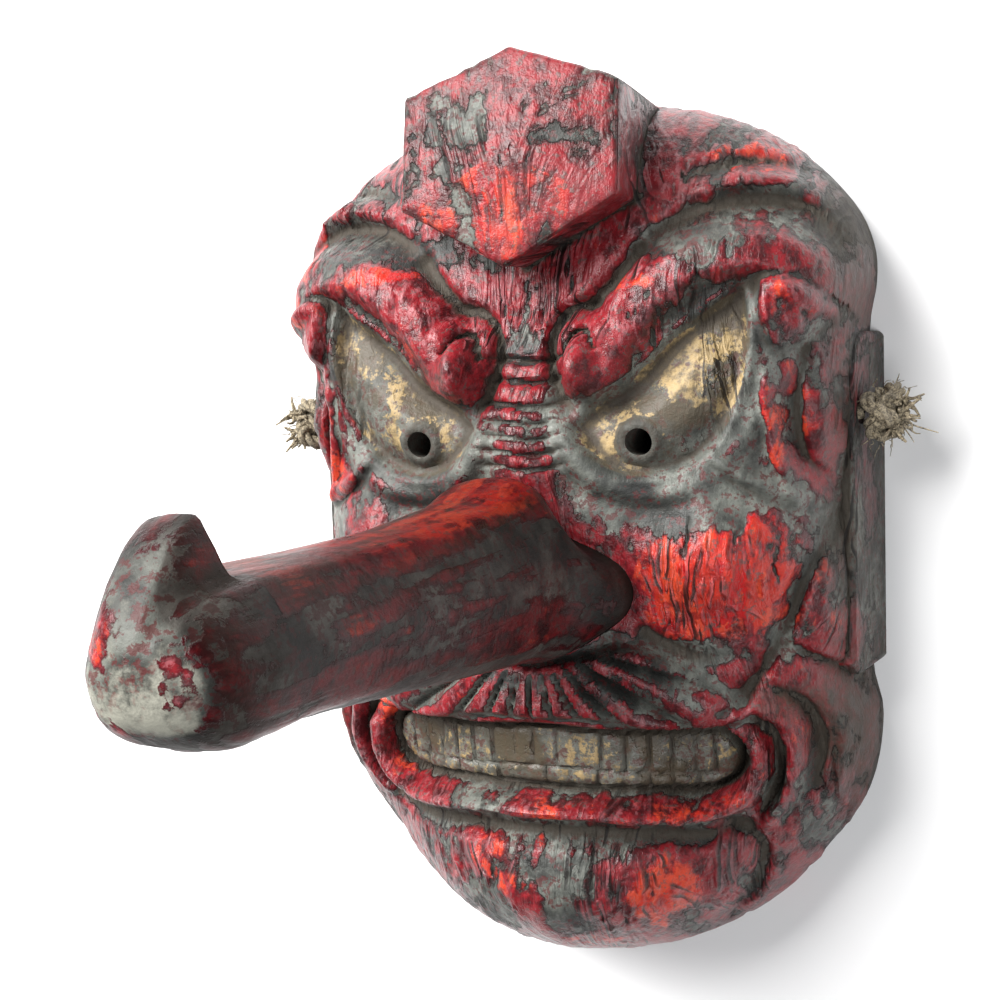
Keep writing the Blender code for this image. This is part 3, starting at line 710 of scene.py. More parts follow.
def ear_plate(side):
    half = EAR_LENGTH / 2
    corner = 0.1 * EAR_LENGTH
    profile = [(-half, EAR_DEPTH * 0.8), (-half + corner * 0.4, EAR_DEPTH)]
    for step in range(5):
        angle = pi / 2 - step * pi / 8
        profile.append((half - corner + corner * cos(angle), EAR_DEPTH - corner * (1 - sin(angle))))
    profile += [(half, -HIDDEN_DROP * UNIT), (-half, -HIDDEN_DROP * UNIT)]
    outer = SIDE_OF_HEAD + EAR_PROUD

    def layer(inset, reach):
        return [(side * (reach - EAR_LEAN * max(pz, 0.0)), EAR_MIDDLE + py * inset, pz * inset)
                for py, pz in profile]

    thickness = EAR_PROUD + 10 * UNIT
    return lofted("ear", [layer(1.0, outer - thickness), layer(1.0, outer - WORN_EDGE),
                          layer(0.975, outer)], bevel=0.0006, cuts=7)


added = join([forehead_cap(), ear_plate(1), ear_plate(-1)], "added")
boolean(face, added, "UNION")
print("With cap and ears:", len(face.data.vertices), "vertices")

# %% [markdown]
# ## The nose's section
#
# The nose starts as a narrow ridge over two flared wings, and soon becomes a shaft with a flattened
# top, a clear edge and a steep side. Near its tip the underside keeps its line, the top rises into
# a small hook, and the end is blunt. One function gives the ring of points at any distance from the
# seat, so the loft and the pocket cut for it agree.

# %% Shape the nose's rings
NOSE_LENGTH, NOSE_THICKNESS, NOSE_HOOK = 0.237, 0.043, 0.014
SEAT_DEPTH, SURFACE_AT_NOSE, NOSE_ZERO = 0.011, 86, -18
SEAT_LEVEL = SURFACE_AT_NOSE * UNIT - SEAT_DEPTH
NOSE_SIDES, SHAFT_STEPS, END_STEPS = 120, 130, 60
END_START, END_ROUNDNESS = 0.86, 2.6         # where the blunt end starts, as a share of the length
ROOT = [(0, 14), (6, 12), (9, 5), (13, -3), (23, -8), (32, -14), (35, -22), (32, -30), (23, -37),
        (12, -43), (0, -45)]
SHAFT = [(0, 1), (0.46, 0.95), (0.68, 0.78), (0.95, 0.22), (0.98, -0.15), (0.82, -0.68),
         (0.48, -0.94), (0, -1)]
root_outline = smooth_path([(px, py - NOSE_ZERO) for px, py in ROOT], steps=4)
shaft_outline = smooth_path(SHAFT, steps=3)


def reach_of(outline, angle):
    angles = np.arctan2(outline[:, 0], outline[:, 1])
    return float(np.interp(angle, angles, np.hypot(outline[:, 0], outline[:, 1])))


def along_nose(share, table):
    shares, sizes = zip(*table)
    return NOSE_THICKNESS / 2 * float(np.interp(share, shares, sizes))


def nose_section(rise, grow=0.0, sides=NOSE_SIDES):
    share = rise / NOSE_LENGTH
    neck = float(smooth_step((rise - 0.014) / 0.036))
    top = along_nose(share, [(0, 1.45), (0.085, 1.45), (0.115, 1.7), (0.15, 1.82), (0.22, 1.66),
                             (0.3, 1.48), (0.5, 1.38), (0.7, 1.42), (0.84, 1.46), (1, 1.5)])
    bottom = along_nose(share, [(0, -1.25), (0.3, -0.9), (0.5, -0.6), (0.7, -0.32),
                                (0.82, -0.16), (0.92, -0.18), (1, -0.1)])
    wide = along_nose(share, [(0, 1.3), (0.12, 1.2), (0.3, 1.05), (0.6, 1), (0.86, 1), (1, 0.95)])
    hook = NOSE_HOOK * float(smooth_step((share - 0.888) / 0.02)
                             * smooth_step((1.05 - share) / 0.15))
    end = min(max((share - END_START) / (1 - END_START), 0.0), 0.999)
    ball = (1.0 - end ** END_ROUNDNESS) ** (1 / END_ROUNDNESS)
    middle = (top + bottom) / 2
    points = []
    for index in range(sides):
        angle = 2 * pi * index / sides
        turned = min(angle, 2 * pi - angle)
        root = reach_of(root_outline, turned) * UNIT + grow
        shaft = reach_of(shaft_outline, turned) * ball
        turn = (angle + pi) % (2 * pi) - pi
        lift = hook * ball * float(smooth_step((turn + radians(80)) / radians(62))
                                   * smooth_step((radians(27) - turn) / radians(22)))
        across = (root * (1 - neck) + wide * shaft * neck) * sin(angle)
        up = root * cos(angle) * (1 - neck)
        up += (middle + (top - middle) * shaft * cos(angle) + lift) * neck
        points.append((across, up + (NOSE_ZERO + MIDDLE_UP) * UNIT, SEAT_LEVEL + rise))
    return points


# %% Loft the nose
rises = list(np.linspace(FIT_GAP, END_START * NOSE_LENGTH, SHAFT_STEPS))
rises += [NOSE_LENGTH * (END_START + (1 - END_START) * sin(pi / 2 * step / END_STEPS))
          for step in range(1, END_STEPS + 1)]
nose = lofted("long_nose", [nose_section(rise) for rise in rises])
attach(nose, "root")
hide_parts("nose")
print("Nose:", len(nose.data.vertices), "vertices")

# %% Cut the back, the eyes, the cord holes and the seat
WALL, HOLLOW_DEPTH, HOLLOW_POWER = 0.011, 0.064, 2.6
CORD_PLAY, SEAT_CUT = 0.0015, 0.035


def hollow_places(across, along):
    x, y = disc_places(across, along)
    keep = 1.0 - WALL / UNIT / rim_radius(x, y)
    return x * keep, y * keep


def hollow_surface(x, y):
    share = np.clip(np.hypot(x, y) / (rim_radius(x, y) - WALL / UNIT), 0.0, 1.0)
    marks = 0.5 * np.sin(x * 0.55 + 2.0 * np.sin(y * 0.11)) * np.sin(y * 0.21 + 1.3)
    return (HOLLOW_DEPTH / UNIT * (1.0 - share ** HOLLOW_POWER) ** (1.0 / HOLLOW_POWER)
            + marks * smooth_step((1 - share) * 4))


cutter = raised_block("hollow", hollow_surface, 60, 80, 2 * HIDDEN_DROP, hollow_places)
seat = lofted("seat", [[(px, py, SEAT_LEVEL + rise) for px, py, _ in
                        nose_section(0.0, grow=FIT_GAP, sides=72)] for rise in (0.0, SEAT_CUT)])
for side in (-1, 1):
    spot = (side * PUPIL[0] * UNIT, (PUPIL[1] + MIDDLE_UP) * UNIT)
    boolean(cutter, rod("eye_hole", (*spot, 0.3 * DOME * UNIT), (*spot, 1.4 * DOME * UNIT),
                        EYE_HOLE_DIAMETER / 2), "UNION")
    boolean(cutter, rod("cord_hole", (side * (SIDE_OF_HEAD - 3 * WALL), CORD_HOLE_UP,
                                      CORD_HOLE_HEIGHT),
                        (side * (SIDE_OF_HEAD + EAR_PROUD + WALL), CORD_HOLE_UP,
                         CORD_HOLE_HEIGHT), CORD_DIAMETER / 2 + CORD_PLAY), "UNION")
under = bmesh.new()
bmesh.ops.create_cube(under, size=1.3, matrix=Matrix.Translation((0, 0, -0.65)))
boolean(cutter, new_object("under", under), "UNION")
boolean(face, join([cutter, seat], "cutters"), "DIFFERENCE")
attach(face, "root")
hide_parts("face")
print("Cut face:", len(face.data.vertices), "vertices", len(face.data.polygons), "faces")

# %% [markdown]
# ## Random patches that always come out the same
#
# Age is not regular, so it needs random numbers, but the mask has to be the same on every run. A
# seeded table of random numbers, read with soft steps between its cells and added up at several
# sizes, gives cloudy patches. Cutting such a cloud into steps gives the second thing old paint
# does: flakes that rise slowly to one side and end in a sudden drop.

# %% Clouds and flakes


def cloud(x, y, wide, high, seed, octaves=4, fade=0.6):
    """Random values round 0.5, in patches of about the given width and height."""
    total, weights = np.zeros(x.shape), 0.0
    for octave in range(octaves):
        table = np.random.default_rng(31 * seed + octave).random((128, 128))
        u, v = x / wide * 2 ** octave, y / high * 2 ** octave
        column, row = np.floor(u).astype(int), np.floor(v).astype(int)
        across, along = smooth_step(u - column), smooth_step(v - row)
        first = table[column % 128, row % 128] * (1 - across)
        first += table[(column + 1) % 128, row % 128] * across
        second = table[column % 128, (row + 1) % 128] * (1 - across)
        second += table[(column + 1) % 128, (row + 1) % 128] * across
        total += fade ** octave * (first * (1 - along) + second * along)
        weights += fade ** octave
    return total / weights


def lifted_flakes(x, y, wide, high, steps, seed):
    """0 to 1 across each flake, with a sudden drop at its side, faded out where a flake ends."""
    run = cloud(x, y, wide, high, seed, octaves=3) * steps
    slope = np.abs(cloud(x + 0.5, y, wide, high, seed, octaves=3) * steps - run) / 0.5
    return (run - np.floor(run)) * smooth_step(slope / 0.25)


# %% [markdown]
# ## Where the paint is thick, thin or gone
#
# The finish is old and uneven: bright vermilion on the right cheek, the cap and the chin, darker
# crimson elsewhere, and bare dark ground where whole flakes have dropped off. These are places on
# the carving, so they are written as round areas in the carver's units, turned into numbers on the
# vertices, and read by the material as attributes. Paint also goes first from the grooves, and wear
# rubs the crests. Both can be measured: a smoothed copy of the surface lies above a groove and
# under a crest.

# %% Measure grooves and crests


def read_vectors(items, name):
    values = np.empty(len(items) * 3)
    items.foreach_get(name, values)
    return values.reshape(-1, 3)


def read_surface(mesh):
    return read_vectors(mesh.vertices, "co"), read_vectors(mesh.vertex_normals, "vector")


def grooves(mesh, rounds):
    """How far each vertex lies under (+) or over (-) a smoothed copy of the surface, in units."""
    (places, normals), count = read_surface(mesh), len(mesh.vertices)
    pairs = np.empty(len(mesh.edges) * 2, int)
    mesh.edges.foreach_get("vertices", pairs)
    first, second = pairs.reshape(-1, 2).T
    links = np.bincount(first, minlength=count) + np.bincount(second, minlength=count)
    smoothed = places.copy()
    for _ in range(rounds):
        total = np.stack([np.bincount(first, smoothed[second, axis], count)
                          + np.bincount(second, smoothed[first, axis], count)
                          for axis in range(3)], axis=1)
        smoothed = 0.5 * smoothed + 0.5 * total / np.maximum(links, 1)[:, None]
    return ((smoothed - places) * normals).sum(axis=1) / UNIT


def move_surface(mesh, places, normals, lift):
    """Move each vertex along its normal, by a lift in units."""
    places += normals * (lift * UNIT)[:, None]
    mesh.vertices.foreach_set("co", places.ravel())
    mesh.update()


def keep_values(mesh, **layers):
    for name, values in layers.items():
        layer = mesh.attributes.new(name, "FLOAT", "POINT")
        layer.data.foreach_set("value", values.astype(np.float32))


def spots(x, y, places):
    """Round areas that add up: each is (x, y, half width, half height, amount)."""
    total = np.zeros(x.shape)
    for px, py, wide, high, amount in places:
        total += swelling(x, y, (px, py), (wide * 1.5, high * 1.5), amount)
    return total


# %% Lay out the paint on the face
VERMILION_PLACES = [(64, -16, 25, 23, 0.75), (52, -30, 12, 13, 0.3), (-12, -120, 16, 11, 0.2),
                    (39, -130, 13, 13, 0.6), (10, -152, 22, 8, 0.2), (72, 121, 22, 7, 0.4),
                    (-49, 86, 16, 4, 0.5), (-88, 96, 10, 12, 0.3), (86, 72, 8, 9, 0.35),
                    (-96, 74, 7, 9, 0.5), (80, 30, 5, 14, 0.18), (91, 33, 6, 12, 0.25),
                    (95, -30, 6, 16, 0.12), (-57, -88, 10, 8, 0.3), (-79, 18, 10, 12, 0.2),
                    (42, 79, 16, 4, 0.2), (-60, -15, 16, 14, 0.2), (-64, -73, 8, 10, 0.3)]
BARE_PLACES = [(6, -123, 11, 12, 0.5), (-25, -138, 14, 11, 0.5), (25, -112, 12, 5, 0.4),
               (83, -117, 12, 14, 0.3), (-25, -99, 10, 4, 0.4), (53, -45, 14, 6, 0.5),
               (51, 6, 22, 9, 0.6), (73, 12, 14, 7, 0.5), (-80, -1, 13, 9, 0.35),
               (-44, 6, 20, 8, 0.35), (-36, 92, 20, 7, 0.4), (-60, 97, 14, 6, 0.35),
               (0, 62, 13, 5, 0.3), (50, 93, 14, 7, 0.5), (79, 108, 12, 3, 0.4),
               (28, 20, 9, 9, 0.3), (69, 32, 7, 13, 0.4), (62, 18, 7, 5, 0.4),
               (9, -140, 12, 8, 0.3), (-14, 107, 5, 6, 0.3), (-24, 117, 8, 4, 0.35),
               (16, 126, 10, 4, 0.3), (0, 34, 13, 22, 0.05)]
LIP_LINE = [(-64, -92), (-36, -100), (0, -98), (36, -100), (60, -100), (73, -86)]
FLAKY_PLACES = [(0, -132, 60, 26, 1.0), (0, 76, 50, 14, 0.8), (66, -20, 26, 18, 0.8),
                (-66, -10, 26, 22, 0.6), (0, 118, 40, 26, 0.9), (66, 55, 8, 14, 1.4),
                (74, 120, 26, 10, 0.6), (-74, 112, 26, 16, 0.6), (92, -84, 18, 40, 0.8)]
PAINT_THICKNESS, FLAKE_LIFT, UNEVENNESS = 0.45, 1.3, 0.7      # in units
TARNISH_PLACES = [(59, 27, 11, 9, 0.5), (49, 18, 12, 5, 0.4), (-20, 33, 8, 9, 0.3),
                  (-62, 40, 9, 12, 0.3), (30, 45, 8, 5, 0.2), (-45, 20, 12, 5, 0.3)]
GRIMY_PLACES = [(80, -62, 16, 10, 0.5), (92, -78, 12, 20, 0.35), (96, -8, 6, 16, 0.3)]

mesh = face.data
places, normals = read_surface(mesh)
x, y, z = places[:, 0] / UNIT, places[:, 1] / UNIT - MIDDLE_UP, places[:, 2] / UNIT
side = np.abs(x)
sunk, sunk_wide = grooves(mesh, 10), grooves(mesh, 60)
groove, deep = np.clip(sunk / 0.8, 0, 1), np.clip(sunk_wide / 3.0, 0, 1)
crest = np.clip(-sunk / 0.7, 0, 1)
on_cap = (side < 38.5) & (y > 84) & (z > 92 - 0.15 * (y - 121))
on_ear = (side > 96) & (np.abs(y - 1.5) < 62) & (z < 38)
whiskers = patch(side, y, [(-12, -48), (14, -41), (32, -37), (48, -43), (64, -54), (73, -66),
                           (60, -74), (38, -73), (20, -69), (-12, -68)], 3)
eyeball = patch(side, y, [(17, 32), (25, 21), (39, 16), (55, 20), (66, 31), (73, 47), (75, 62),
                          (71, 75), (61, 70), (47, 60), (36, 49), (25, 42)], 2)
teeth = patch(side, y, [(-14, -70.5), (30, -70.5), (54, -70.5), (61, -72.5), (65, -79), (65, -86),
                        (60, -92), (52, -95), (36, -93.5), (-14, -90.5)], 1.5)
socket = patch(side, y, [(13, 34), (22, 17), (39, 11), (57, 15), (69, 27), (76, 45), (78, 64),
                         (74, 78), (62, 73), (47, 62), (36, 51), (24, 44)], 2)
lid = gouge(side, y, [(12, 40), (16, 24), (24, 14), (38, 8), (58, 12), (72, 24), (80, 46)], 8,
            (0.6, 1, 1, 1, 1, 1, 0.5), flat=0.2)
collar = smooth_step((8.5 - np.hypot(side - PUPIL[0], y - PUPIL[1])) / 1.5)
head_side = np.clip((side - 88) / 14, 0, 1)

bright = 0.16 + spots(x, y, VERMILION_PLACES)
bright += gouge(x, y, LIP_LINE, 6, (0.0, 0.08, 0.16, 0.2, 0.05))
# The cap's low facets are made brighter red and its upper ones darker: two-tone paint, and partly
# painted light on the facets.
low_cap = on_cap & (y < 121.5 - 0.4 * side)
bright += on_cap * np.where(low_cap, 0.17, -0.08)
left = 0.58 - spots(x, y, BARE_PLACES) + 0.35 * np.clip(bright - 0.2, 0, 1)
left += 0.75 * (cloud(x, y, 13, 19, 7) - 0.5) + 0.6 * (cloud(x, y, 3.5, 8, 8) - 0.5)
left -= 0.34 * groove + 0.10 * deep - 0.10 * crest - 0.06 * (y > 62) * (side < 50)
left -= (0.28 - 0.30 * crest) * whiskers + 0.06 * on_ear + 0.12 * head_side + 0.4 * collar
left -= 0.25 * lid * np.where((x > 0) | (y > 20), 1, 0.6) + 0.3 * socket
left -= 0.2 * low_cap * smooth_step(1 - side / 2.5)
left -= on_cap * 0.05 + on_cap * ((x < -4) & (y > 118)) * 0.08
left -= 0.25 * np.clip((14 - z) / 14, 0, 1)
gold = 0.45 - spots(x, y, TARNISH_PLACES) + 0.5 * (cloud(x, y, 9, 9, 31) - 0.5)
gold = eyeball * gold * (1 - collar)
gold += teeth * (0.36 - 0.3 * groove)
flaky = 0.3 + spots(x, y, FLAKY_PLACES)
flaky *= (1 - whiskers) * (1 - teeth) * (1 - eyeball * (side < 58)) * (1 - lid)
flaky *= 1 - 0.8 * smooth_step((20 - np.abs(y - 12)) / 10) * (side > 20)
flaky *= 1 - on_cap * np.where(low_cap, 0.7, 0.45)
flakes = lifted_flakes(x, y, 26, 44, 6, 3)
# Darker in the wide recesses and in the grooves within them: grime, and painted shade
dirt = 0.75 * deep + 0.6 * groove * deep + 0.6 * head_side * ~on_ear + 0.3 * whiskers * groove
dirt += 0.40 * on_ear + 0.5 * collar + 0.2 * teeth
dirt += spots(x, y, GRIMY_PLACES)
dirt += 0.8 * smooth_step((mouth(side, y) * -1 - 6) / 4) * (1 - teeth)

# Lost paint leaves a step, flakes lift, and neither reaches the back, the rim or the nose's seat
root_angle = np.arctan2(side, y - NOSE_ZERO)
root_reach = np.interp(root_angle, np.arctan2(root_outline[:, 0], root_outline[:, 1]),
                       np.hypot(root_outline[:, 0], root_outline[:, 1]))
off_seat = smooth_step((np.hypot(x, y - NOSE_ZERO) - root_reach - 1.0) / 2)
outside = (z > hollow_surface(x, y) + 1) | (np.hypot(x, y) > rim_radius(x, y) - 0.5 * WALL / UNIT)
keep = off_seat * outside * np.clip((z - 2) / 5, 0, 1) * (1 - collar) * ~on_ear
lift = PAINT_THICKNESS * smooth_step((left - 0.46) / 0.08) + FLAKE_LIFT * (flakes - 0.4) * flaky
lift += UNEVENNESS * (cloud(x, y, 6, 8, 12, octaves=3) - 0.5)
lift *= 1 - 0.7 * whiskers
move_surface(mesh, places, normals, lift * keep)

# The cap is dulled with dirt, and the upper right of the head gets painted shade, as on the side
# away from the light
high_right = (x > 50) * ~on_cap * smooth_step((y - 84) / 12)
dirt += on_cap * np.where(low_cap, 0.25, 0.2) + 0.22 * high_right
dirt *= 1 - 0.85 * whiskers
# Rubbed paint on the crests, moustache and lips. On the forehead, brow and cap ridge it is also a
# painted sheen, with less of it on the right, away from the light.
rubbed = crest * 0.7 + (y > 60) * np.where(on_cap, np.where(side < 13, 0.45, 0.05) * ~low_cap,
                                           0.8 - 0.4 * (x > 66))
rubbed += 0.45 * whiskers + spots(x, y, [(88, 68, 10, 12, 0.5)])
rubbed += gouge(side, y, [(0, -98), (36, -100), (60, -99), (72, -84)], 7, (0.4, 0.4, 0.4, 0.4))
keep_values(mesh, left=left, bright=bright, gold=np.clip(gold, 0, 1),
            flaky=np.clip(flaky + on_ear * 0.4, 0, 1), rubbed=np.clip(rubbed, 0, 0.9),
            dirt=np.clip(dirt, 0, 1))
print("Face values laid out on", len(mesh.vertices), "vertices")

# %% Lay out the paint on the nose
mesh = nose.data
places, normals = read_surface(mesh)
run = (places[:, 2] - SEAT_LEVEL) / NOSE_LENGTH
angle = np.arctan2(places[:, 0], places[:, 1] - (NOSE_ZERO + MIDDLE_UP + 12) * UNIT)
around = np.abs(angle)
sunk = grooves(mesh, 8) * (run < 0.985)
arc, length = angle * 20, run * NOSE_LENGTH / UNIT
across, up = places[:, 0] / UNIT, places[:, 1] / UNIT
top = smooth_step((1.1 - around) / 0.3) * (run < 0.88)
under = smooth_step(1 - np.abs(around - 2.25) / 0.35) * (run < 0.85)
on_tip = smooth_step((run - 0.87) / 0.06)
at_end = smooth_step((run - 0.90) / 0.07)
pale = on_tip * np.maximum(smooth_step((normals[:, 2] - 0.42) / 0.35), run > 0.99)
near_hook = top * smooth_step((run - 0.62) / 0.2)

# Streaks along the shaft, and patches that don't follow it on the rounded end
streaks = cloud(arc, length, 4, 80, 21) * (1 - at_end) + cloud(across, up, 9, 9, 25) * at_end
left = 0.42 + 0.32 * top + 0.12 * under + 0.9 * (streaks - 0.5) + 0.06 * on_tip - 0.12 * pale
left += 0.35 * (cloud(arc, length, 7, 18, 22) - 0.5) * (1 - at_end) - 0.15 * (run < 0.1)
bumps = cloud(arc, length, 12, 22, 23) * (1 - at_end) + cloud(across, up, 12, 12, 26) * at_end
lift = 0.2 * smooth_step((left - 0.44) / 0.12) + 0.9 * (bumps - 0.5)
lift *= smooth_step((run - 0.16) / 0.04) * (1 - smooth_step((run - 0.985) / 0.012))
move_surface(mesh, places, normals, lift)
dirt = 0.20 - 0.05 * top + 0.35 * near_hook + 0.25 * on_tip - 0.45 * pale
dirt += 0.5 * smooth_step((0.09 - run) / 0.04)
keep_values(mesh, left=left, bright=0.22 * top + 0.12 + 0.6 * (streaks - 0.5),
            gold=np.zeros(len(places)), dirt=dirt + np.clip(sunk / 0.5, 0, 0.4) * (1 - at_end),
            flaky=np.full(len(places), 0.10),
            rubbed=1.3 * pale * np.interp(up, [-2, 12], [1.0, 0.76]))
print("Nose values laid out on", len(mesh.vertices), "vertices")

# %% [markdown]
# ## Small tools for materials
#
# A material is a graph of nodes. A few helpers keep the graphs short to write: one adds a node and
# fills its sockets with numbers, colours or other nodes' outputs, one turns a range of values into
# a soft mask, and one mixes two colours by a mask. A socket knows the graph it belongs to, so the
# sums needn't be told.

# %% Helpers for node graphs


def fill_sockets(node, values):
    for socket, value in dict(values).items():
        if isinstance(value, bpy.types.NodeSocket):
            node.id_data.links.new(value, node.inputs[socket])
        else:
            node.inputs[socket].default_value = value
    return node.outputs


def add_node(tree, kind, values=(), **settings):
    made = tree.nodes.new("ShaderNode" + kind)
    for name, setting in settings.items():
        setattr(made, name, setting)
    return fill_sockets(made, values)


def figure(operation, *values):
    tree = next(value.id_data for value in values if isinstance(value, bpy.types.NodeSocket))
    return add_node(tree, "Math", dict(enumerate(values)), operation=operation)[0]


def times(first, second):
    return figure("MULTIPLY", first, second)


def minus(first, second):
    return figure("SUBTRACT", first, second)


def weigh(value, weight, rest):
    """The value times its weight, plus the rest."""
    return figure("MULTIPLY_ADD", value, weight, rest)


def mask_between(value, low, high, start=0.0, end=1.0):
    return add_node(value.id_data, "MapRange", {0: value, 1: low, 2: high, 3: start, 4: end},
                    interpolation_type="SMOOTHSTEP")[0]


def blend(mask, under, over, how="MIX"):
    return add_node(mask.id_data, "Mix", {0: mask, 6: under, 7: over}, data_type="RGBA",
                    blend_type=how)[2]


def speckle(vector, scale, detail=4.0, roughness=0.6, distortion=0.0):
    return add_node(vector.id_data, "TexNoise",
                    {"Vector": vector, "Scale": scale, "Detail": detail,
                     "Roughness": roughness, "Distortion": distortion})[0]


def new_group(name, inputs, outputs):
    tree = bpy.data.node_groups.new(name, "ShaderNodeTree")
    for socket, (kind, value) in inputs.items():
        made = tree.interface.new_socket(socket, in_out="INPUT", socket_type="NodeSocket" + kind)
        if value is not None:
            made.default_value = value
    for socket, kind in outputs.items():
        tree.interface.new_socket(socket, in_out="OUTPUT", socket_type="NodeSocket" + kind)
    return tree, tree.nodes.new("NodeGroupInput").outputs, tree.nodes.new("NodeGroupOutput")


def start_material(name, shown=(0.3, 0.05, 0.04)):
    material = bpy.data.materials.new(name)
    material.use_nodes = True
    material.diffuse_color = (*shown, 1.0)
    return material, material.node_tree.nodes["Principled BSDF"]


def place_on_piece(surface, squeeze=None):
    """The place on the piece, or the same place squeezed along the grain."""
    place = add_node(surface.id_data, "TexCoord")["Object"]
    if squeeze:
        place = add_node(place.id_data, "Mapping", {"Vector": place, "Scale": squeeze})[0]
    return place


def dress(surface, colour, roughness, height, strength, distance):
    bumps = add_node(surface.id_data, "Bump", {"Height": height, "Strength": strength,
                                               "Distance": distance})
    fill_sockets(surface, {"Base Color": colour, "Roughness": roughness, "Normal": bumps[0]})


# %% [markdown]
# ## Flakes along the grain
#
# The finest flakes are too small for the mesh, so a shader group repeats the same idea for the
# bump: a noise stretched along the grain is cut into steps. The slope across the grain turns a
# step's height into a distance, so a crack keeps one width, and it fades out by itself where the
# step turns across the grain. That leaves short open cracks, as in real lacquer, and no net.

# %% The grain flakes group
SMALL_SIDESTEP = (0.0003, 0.0, 0.0)      # metres across the grain, to measure the slope


def grain_flakes_group():
    tree, given, wanted = new_group(
        "grain flakes", {"Vector": ("Vector", None), "Across": ("Vector", SMALL_SIDESTEP),
                         "Scale": ("Float", 30.0), "Steps": ("Float", 12.0),
                         "Width": ("Float", 0.25)},
        {"Crack_and_shadow": "Float", "Rim_highlight": "Float", "Lift": "Float", "Flake": "Float"})
    beside = add_node(tree, "VectorMath", {0: given["Vector"], 1: given["Across"]},
                      operation="ADD")[0]
    here, there = (times(speckle(vector, given["Scale"], detail=3.0, distortion=0.5),
                         given["Steps"]) for vector in (given["Vector"], beside))
    slope = figure("ABSOLUTE", minus(there, here))
    part = figure("FRACT", here)
    steep = mask_between(slope, 0.02, 0.08)
    number = add_node(tree, "TexWhiteNoise", {"W": figure("FLOOR", here)},
                      noise_dimensions="1D")[0]
    fill_sockets(wanted, {"Lift": times(part, steep), "Flake": number})
    # The dark line just below each step is a crack with painted shadow in it, and the pale line on
    # the raised edge above it is a painted highlight.
    for run_up, output in ((part, "Crack_and_shadow"), (minus(1.0, part), "Rim_highlight")):
        away = figure("DIVIDE", run_up, figure("MAXIMUM", slope, 0.0001))
        line = mask_between(times(away, given["Width"]), 0.3, 1.0, 1.0, 0.0)
        fill_sockets(wanted, {output: times(line, steep)})
    return tree


grain_flakes = grain_flakes_group()

# %% [markdown]
# ## Layers of old paint
#
# From the bottom up there is slate-dark ground, a dull crimson, a bright vermilion, and the dirt
# with painted shade.
# Each layer shows where the one above has gone, so every layer has a mask: the attribute sets how
# much should be left there, and noise and the flake's own random number make the edge ragged. The
# edge of a lost layer is a small step, so the masks also add up to a height for the bump.

# %% The old paint group
GROUND_DARK, GROUND_PALE = (0.022, 0.023, 0.021, 1), (0.185, 0.195, 0.170, 1)
WASH, SLATE, PRIMER = (0.085, 0.016, 0.016, 1), (0.075, 0.072, 0.066, 1), (0.30, 0.295, 0.245, 1)
CRIMSON, CRIMSON_DEEP = (0.240, 0.012, 0.018, 1), (0.055, 0.007, 0.009, 1)
VERMILION, VERMILION_ORANGE = (0.46, 0.010, 0.010, 1), (0.60, 0.055, 0.022, 1)
SCARLET_DARK, ROSE_WEAR_AND_HIGHLIGHT = (0.19, 0.008, 0.010, 1), (0.40, 0.15, 0.165, 1)
GILT, GILT_DARK = (0.37, 0.265, 0.125, 1), (0.085, 0.067, 0.042, 1)
GRIME_AND_SHADE, CRACK_AND_SHADOW_DARK = (0.050, 0.040, 0.029, 1), (0.008, 0.006, 0.005, 1)
LARGE_FLAKES = {"Scale": 30.0, "Steps": 11.0, "Width": 0.15}
SMALL_FLAKES = {"Scale": 75.0, "Steps": 11.0, "Width": 0.45}


